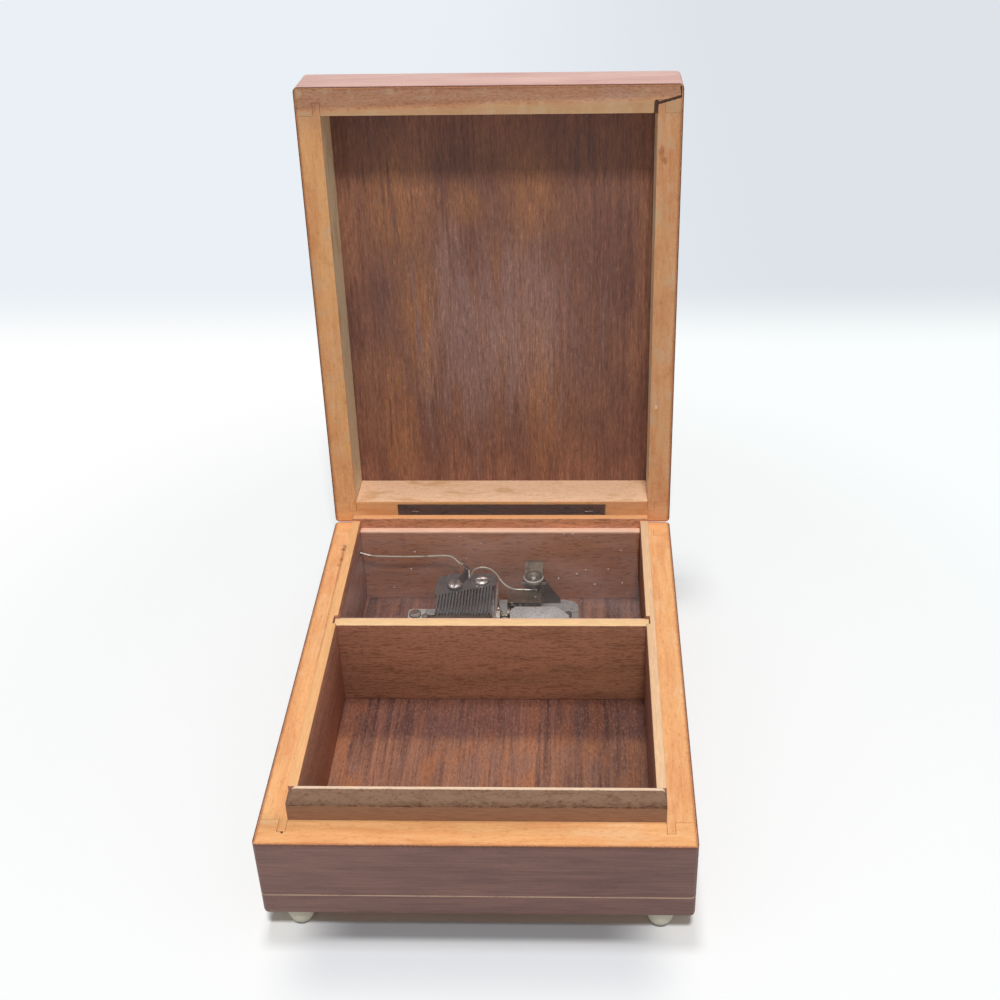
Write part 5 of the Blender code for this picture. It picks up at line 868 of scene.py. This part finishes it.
class BOX_OT_movement(bpy.types.Operator):
    """Finish the comb movement and its stop wire, and add the left bracket's screw and rivet"""

    bl_idname = "jewelry_box.movement"
    bl_label = "Movement"

    def execute(self, context):
        parts = context.scene.box_parts
        ease = parts.metal_ease
        steel = aged_metal("comb_steel", parts.comb, 0.46, tone(58, 50, 46), 0.5, (1, 6, 1))
        bright = aged_metal("bright_steel", parts.bright, 0.32, tone(96, 80, 64), 0.35)
        screws = aged_metal("screw_steel", tone(180, 170, 164), 0.38, tone(62, 54, 50), 0.6)
        gears = aged_metal("gear_steel", tone(124, 116, 106), 0.42, tone(60, 50, 42), 0.6)
        brass = aged_metal("brass", parts.brass, 0.42, tone(96, 76, 48), 0.6)
        wheels = aged_metal("wheel_brass", tone(150, 136, 112), 0.46, tone(76, 64, 50), 0.6)
        tube = aged_metal("cylinder_brass", tone(116, 100, 82), 0.5, tone(64, 54, 46), 0.6)
        cast = aged_metal("cast_bed", parts.cast, 0.6, tone(96, 92, 88), 0.6, (0.6, 0.6, 0.6), 0.35)
        clip = aged_metal("clip_steel", tone(96, 88, 88), 0.36, tone(52, 44, 44), 0.5)
        olive = aged_metal("aged_plate", parts.olive, 0.38, tone(58, 48, 36), 0.7, (0.9, 0.9, 0.9))
        zinc = zinc_plate("zinc_plate")
        for names, material, width, crease in (
                (("comb",), steel, 0, CREASE),
                (("comb_screw_left", "comb_screw_right"), screws, 0, ROUND_CREASE),
                (("stop_pin", "fan_worm", "winding_arbor"), bright, 0, ROUND_CREASE),
                (("wire_clip",), clip, 0, ROUND_CREASE),
                (("cylinder_gears",), gears, 0, ROUND_CREASE),
                (("stop_wire",), wire_steel("wire_steel"), 0, ROUND_CREASE),
                (("bracket_left",), zinc, ease, CREASE),
                (("bracket_right",), bright, ease, CREASE),
                (("cylinder",), tube, 0, TURNED_CREASE),
                (("train_wheel", "worm_wheel"), wheels, 0, TURNED_CREASE),
                (("spring_barrel", "winding_key"), brass, 0, TURNED_CREASE),
                (("bedplate",), cast, 0, TURNED_CREASE),
                (("governor_frame", "governor_cock"), olive, 0, TURNED_CREASE),
                (("barrel_bridge",), zinc, ease, CREASE),
                (("endstone_cap",), cap_steel("cap_steel"), 0, TURNED_CREASE)):
            ease_edges(names, material, width, crease)
        for name, radius, height, spot, slot_width in (
                ("bracket_screw", 0.0021, 0.0009, (-0.0282, 0.0234), 0.0006),
                ("bracket_rivet", 0.00115, 0.0006, (-0.0248, 0.0224), 0.0)):
            bm = slotted_head(radius, height, slot_width, height * 0.5, SLOT_TURN)
            bmesh.ops.translate(bm, vec=(*spot, TAB_TOP + height), verts=bm.verts)
            add_piece(name, bm, "box", screws, TURNED_CREASE)
        return {"FINISHED"}


class BOX_OT_stage(bpy.types.Operator):
    """Set up the paper, the lights and the camera"""

    bl_idname = "jewelry_box.stage"
    bl_label = "Studio"

    def execute(self, context):
        studio = context.scene.box_studio
        self.lay_paper(studio)
        self.light_world(context, studio)
        self.hang_lamp("key_lamp", KEY_SPOT, KEY_SIZE, studio.key)
        self.hang_lamp("top_lamp", TOP_SPOT, TOP_SIZE, studio.top)
        self.place_camera(context, studio)
        context.scene.view_settings.view_transform = "Standard"
        return {"FINISHED"}

    def lay_paper(self, studio):
        """A wide round floor that the camera sees pale, and that throws back less light than it shows."""
        bm = bmesh.new()
        bmesh.ops.create_circle(bm, cap_ends=True, segments=96, radius=PAPER_RADIUS)
        bmesh.ops.translate(bm, vec=(0, 0, -PAPER_DROP), verts=bm.verts)
        mesh = bpy.data.meshes.new("paper")
        bm.to_mesh(mesh)
        bm.free()
        paper = bpy.data.objects.new("paper", mesh)
        bpy.context.scene.collection.objects.link(paper)
        mesh.materials.append(self.paper_material(studio))

    def paper_material(self, studio):
        """Paper with painted shade under the box's front and back edges and before its front, over the
        lamps' own shadow, fading into the background.
        """
        paint = Paint("paper")
        seen = paint.seen()
        sides, ends = paint.margins()
        # Painted shadow: a dark strip along the box's front and back edges, and a softer shade before its
        # front.
        under = paint.rise(ends, -3.4, -0.3) * paint.rise(ends, 4.9, 4.0) * paint.rise(sides, 5.0, 27.0)
        front = paint.rise(sides, -2.0, 20.0) * paint.rise(ends, -32.0, -8.0)
        front = front * paint.rise(paint.y, -60.0, -90.0)
        shown = paint.tint(tuple(studio.paper), front * 0.30, (0.26, 0.32, 0.42))
        shown = paint.tint(shown, under * 0.70, (0.16, 0.15, 0.16))
        paint.finish(paint.mix(seen, BOUNCE, shown), 0.8, Specular_IOR_Level=0.1)
        slope = paint.rise(paint.x, -120, 170)
        pale = paint.mix(slope, tuple(studio.far), tuple(studio.far_right))
        near = paint.mix(slope, (1.0, 1.0, 1.0), tone(250, 254, 254))
        backdrop = paint.mix(paint.rise(paint.y, 262, 345), near, pale)
        glow = paint.node("ShaderNodeEmission", {}, {"Color": backdrop})
        dark = paint.node("ShaderNodeBsdfDiffuse", {}, {"Color": (*BOUNCE, 1)})
        away = paint.node("ShaderNodeMixShader", {}, {0: seen, 1: dark, 2: glow})
        distance = paint.node("ShaderNodeVectorMath", {"operation": "LENGTH"},
                              {"Vector": paint.spot}, "Value")
        both = paint.node("ShaderNodeMixShader", {}, {
            0: paint.rise(distance, 140, 260), 1: Value(paint, paint.shader.outputs[0]), 2: away})
        paint.tree.links.new(both.socket, paint.tree.nodes["Material Output"].inputs["Surface"])
        return paint.material

    def light_world(self, context, studio):
        """Even pale light, with its own colour where the camera sees it."""
        world = bpy.data.worlds.new("studio")
        context.scene.world = world
        world.use_nodes = True
        sky = Nodes(world.node_tree)
        light = sky.tree.nodes["Background"]
        light.inputs["Color"].default_value = (1, 1, 1, 1)
        light.inputs["Strength"].default_value = studio.sky
        shown = sky.node("ShaderNodeBackground", {}, {"Color": (*studio.far, 1)})
        choice = sky.node("ShaderNodeMixShader", {}, {
            0: sky.seen(), 1: Value(sky, light.outputs[0]), 2: shown})
        sky.tree.links.new(choice.socket, sky.tree.nodes["World Output"].inputs["Surface"])

    def hang_lamp(self, name, spot, size, level):
        """A square lamp aimed at the box; a level of 1 shows white as white."""
        lamp = bpy.data.lights.new(name, "AREA")
        lamp.shape = "SQUARE"
        lamp.size = size
        lamp.energy = level * math.pi ** 2 * (spot - LAMP_TARGET).length_squared
        obj = bpy.data.objects.new(name, lamp)
        obj.location = spot
        obj.rotation_euler = (LAMP_TARGET - spot).to_track_quat("-Z", "Y").to_euler()
        bpy.context.scene.collection.objects.link(obj)

    def place_camera(self, context, studio):
        """The camera at the photograph's place, aimed by its tilt, pan and roll."""
        data = bpy.data.cameras.new("camera")
        data.lens = studio.lens
        data.sensor_width = 36
        data.shift_x, data.shift_y = CAMERA_SHIFT
        data.clip_start = 0.01
        data.clip_end = 20
        camera = bpy.data.objects.new("camera", data)
        tilt, pan, roll = (math.radians(angle) for angle in CAMERA_TURN)
        camera.matrix_world = (Matrix.Translation(studio.eye) @ Matrix.Rotation(tilt, 4, "X")
                               @ Matrix.Rotation(pan, 4, "Y") @ Matrix.Rotation(roll, 4, "Z"))
        context.scene.collection.objects.link(camera)
        context.scene.camera = camera


class BOX_PT_panel(bpy.types.Panel):
    """The jewelry box's settings and steps"""

    bl_label = "Jewelry Box"
    bl_idname = "BOX_PT_panel"
    bl_space_type = "VIEW_3D"
    bl_region_type = "UI"
    bl_category = "Jewelry Box"

    def draw(self, context):
        for operator in OPERATORS:
            self.layout.operator(operator.bl_idname)
        for group in (context.scene.box_woods, context.scene.box_parts, context.scene.box_studio):
            box = self.layout.box()
            for name in group.bl_rna.properties.keys():
                if name not in ("rna_type", "name"):
                    box.prop(group, name)


OPERATORS = (BOX_OT_rails, BOX_OT_veneers, BOX_OT_linings, BOX_OT_pane_and_feet, BOX_OT_hinge,
             BOX_OT_movement, BOX_OT_stage)
CLASSES = (WoodSettings, PartSettings, StudioSettings, *OPERATORS, BOX_PT_panel)


def register():
    """Register the settings, the steps and the panel."""
    for cls in CLASSES:
        bpy.utils.register_class(cls)
    bpy.types.Scene.box_woods = bpy.props.PointerProperty(type=WoodSettings)
    bpy.types.Scene.box_parts = bpy.props.PointerProperty(type=PartSettings)
    bpy.types.Scene.box_studio = bpy.props.PointerProperty(type=StudioSettings)


def unregister():
    """Take the settings, the steps and the panel out again."""
    del bpy.types.Scene.box_woods
    del bpy.types.Scene.box_parts
    del bpy.types.Scene.box_studio
    for cls in reversed(CLASSES):
        bpy.utils.unregister_class(cls)


def main():
    """Run every step in order."""
    register()
    for operator in OPERATORS:
        group, name = operator.bl_idname.split(".")
        getattr(getattr(bpy.ops, group), name)()


if __name__ == "__main__":
    main()
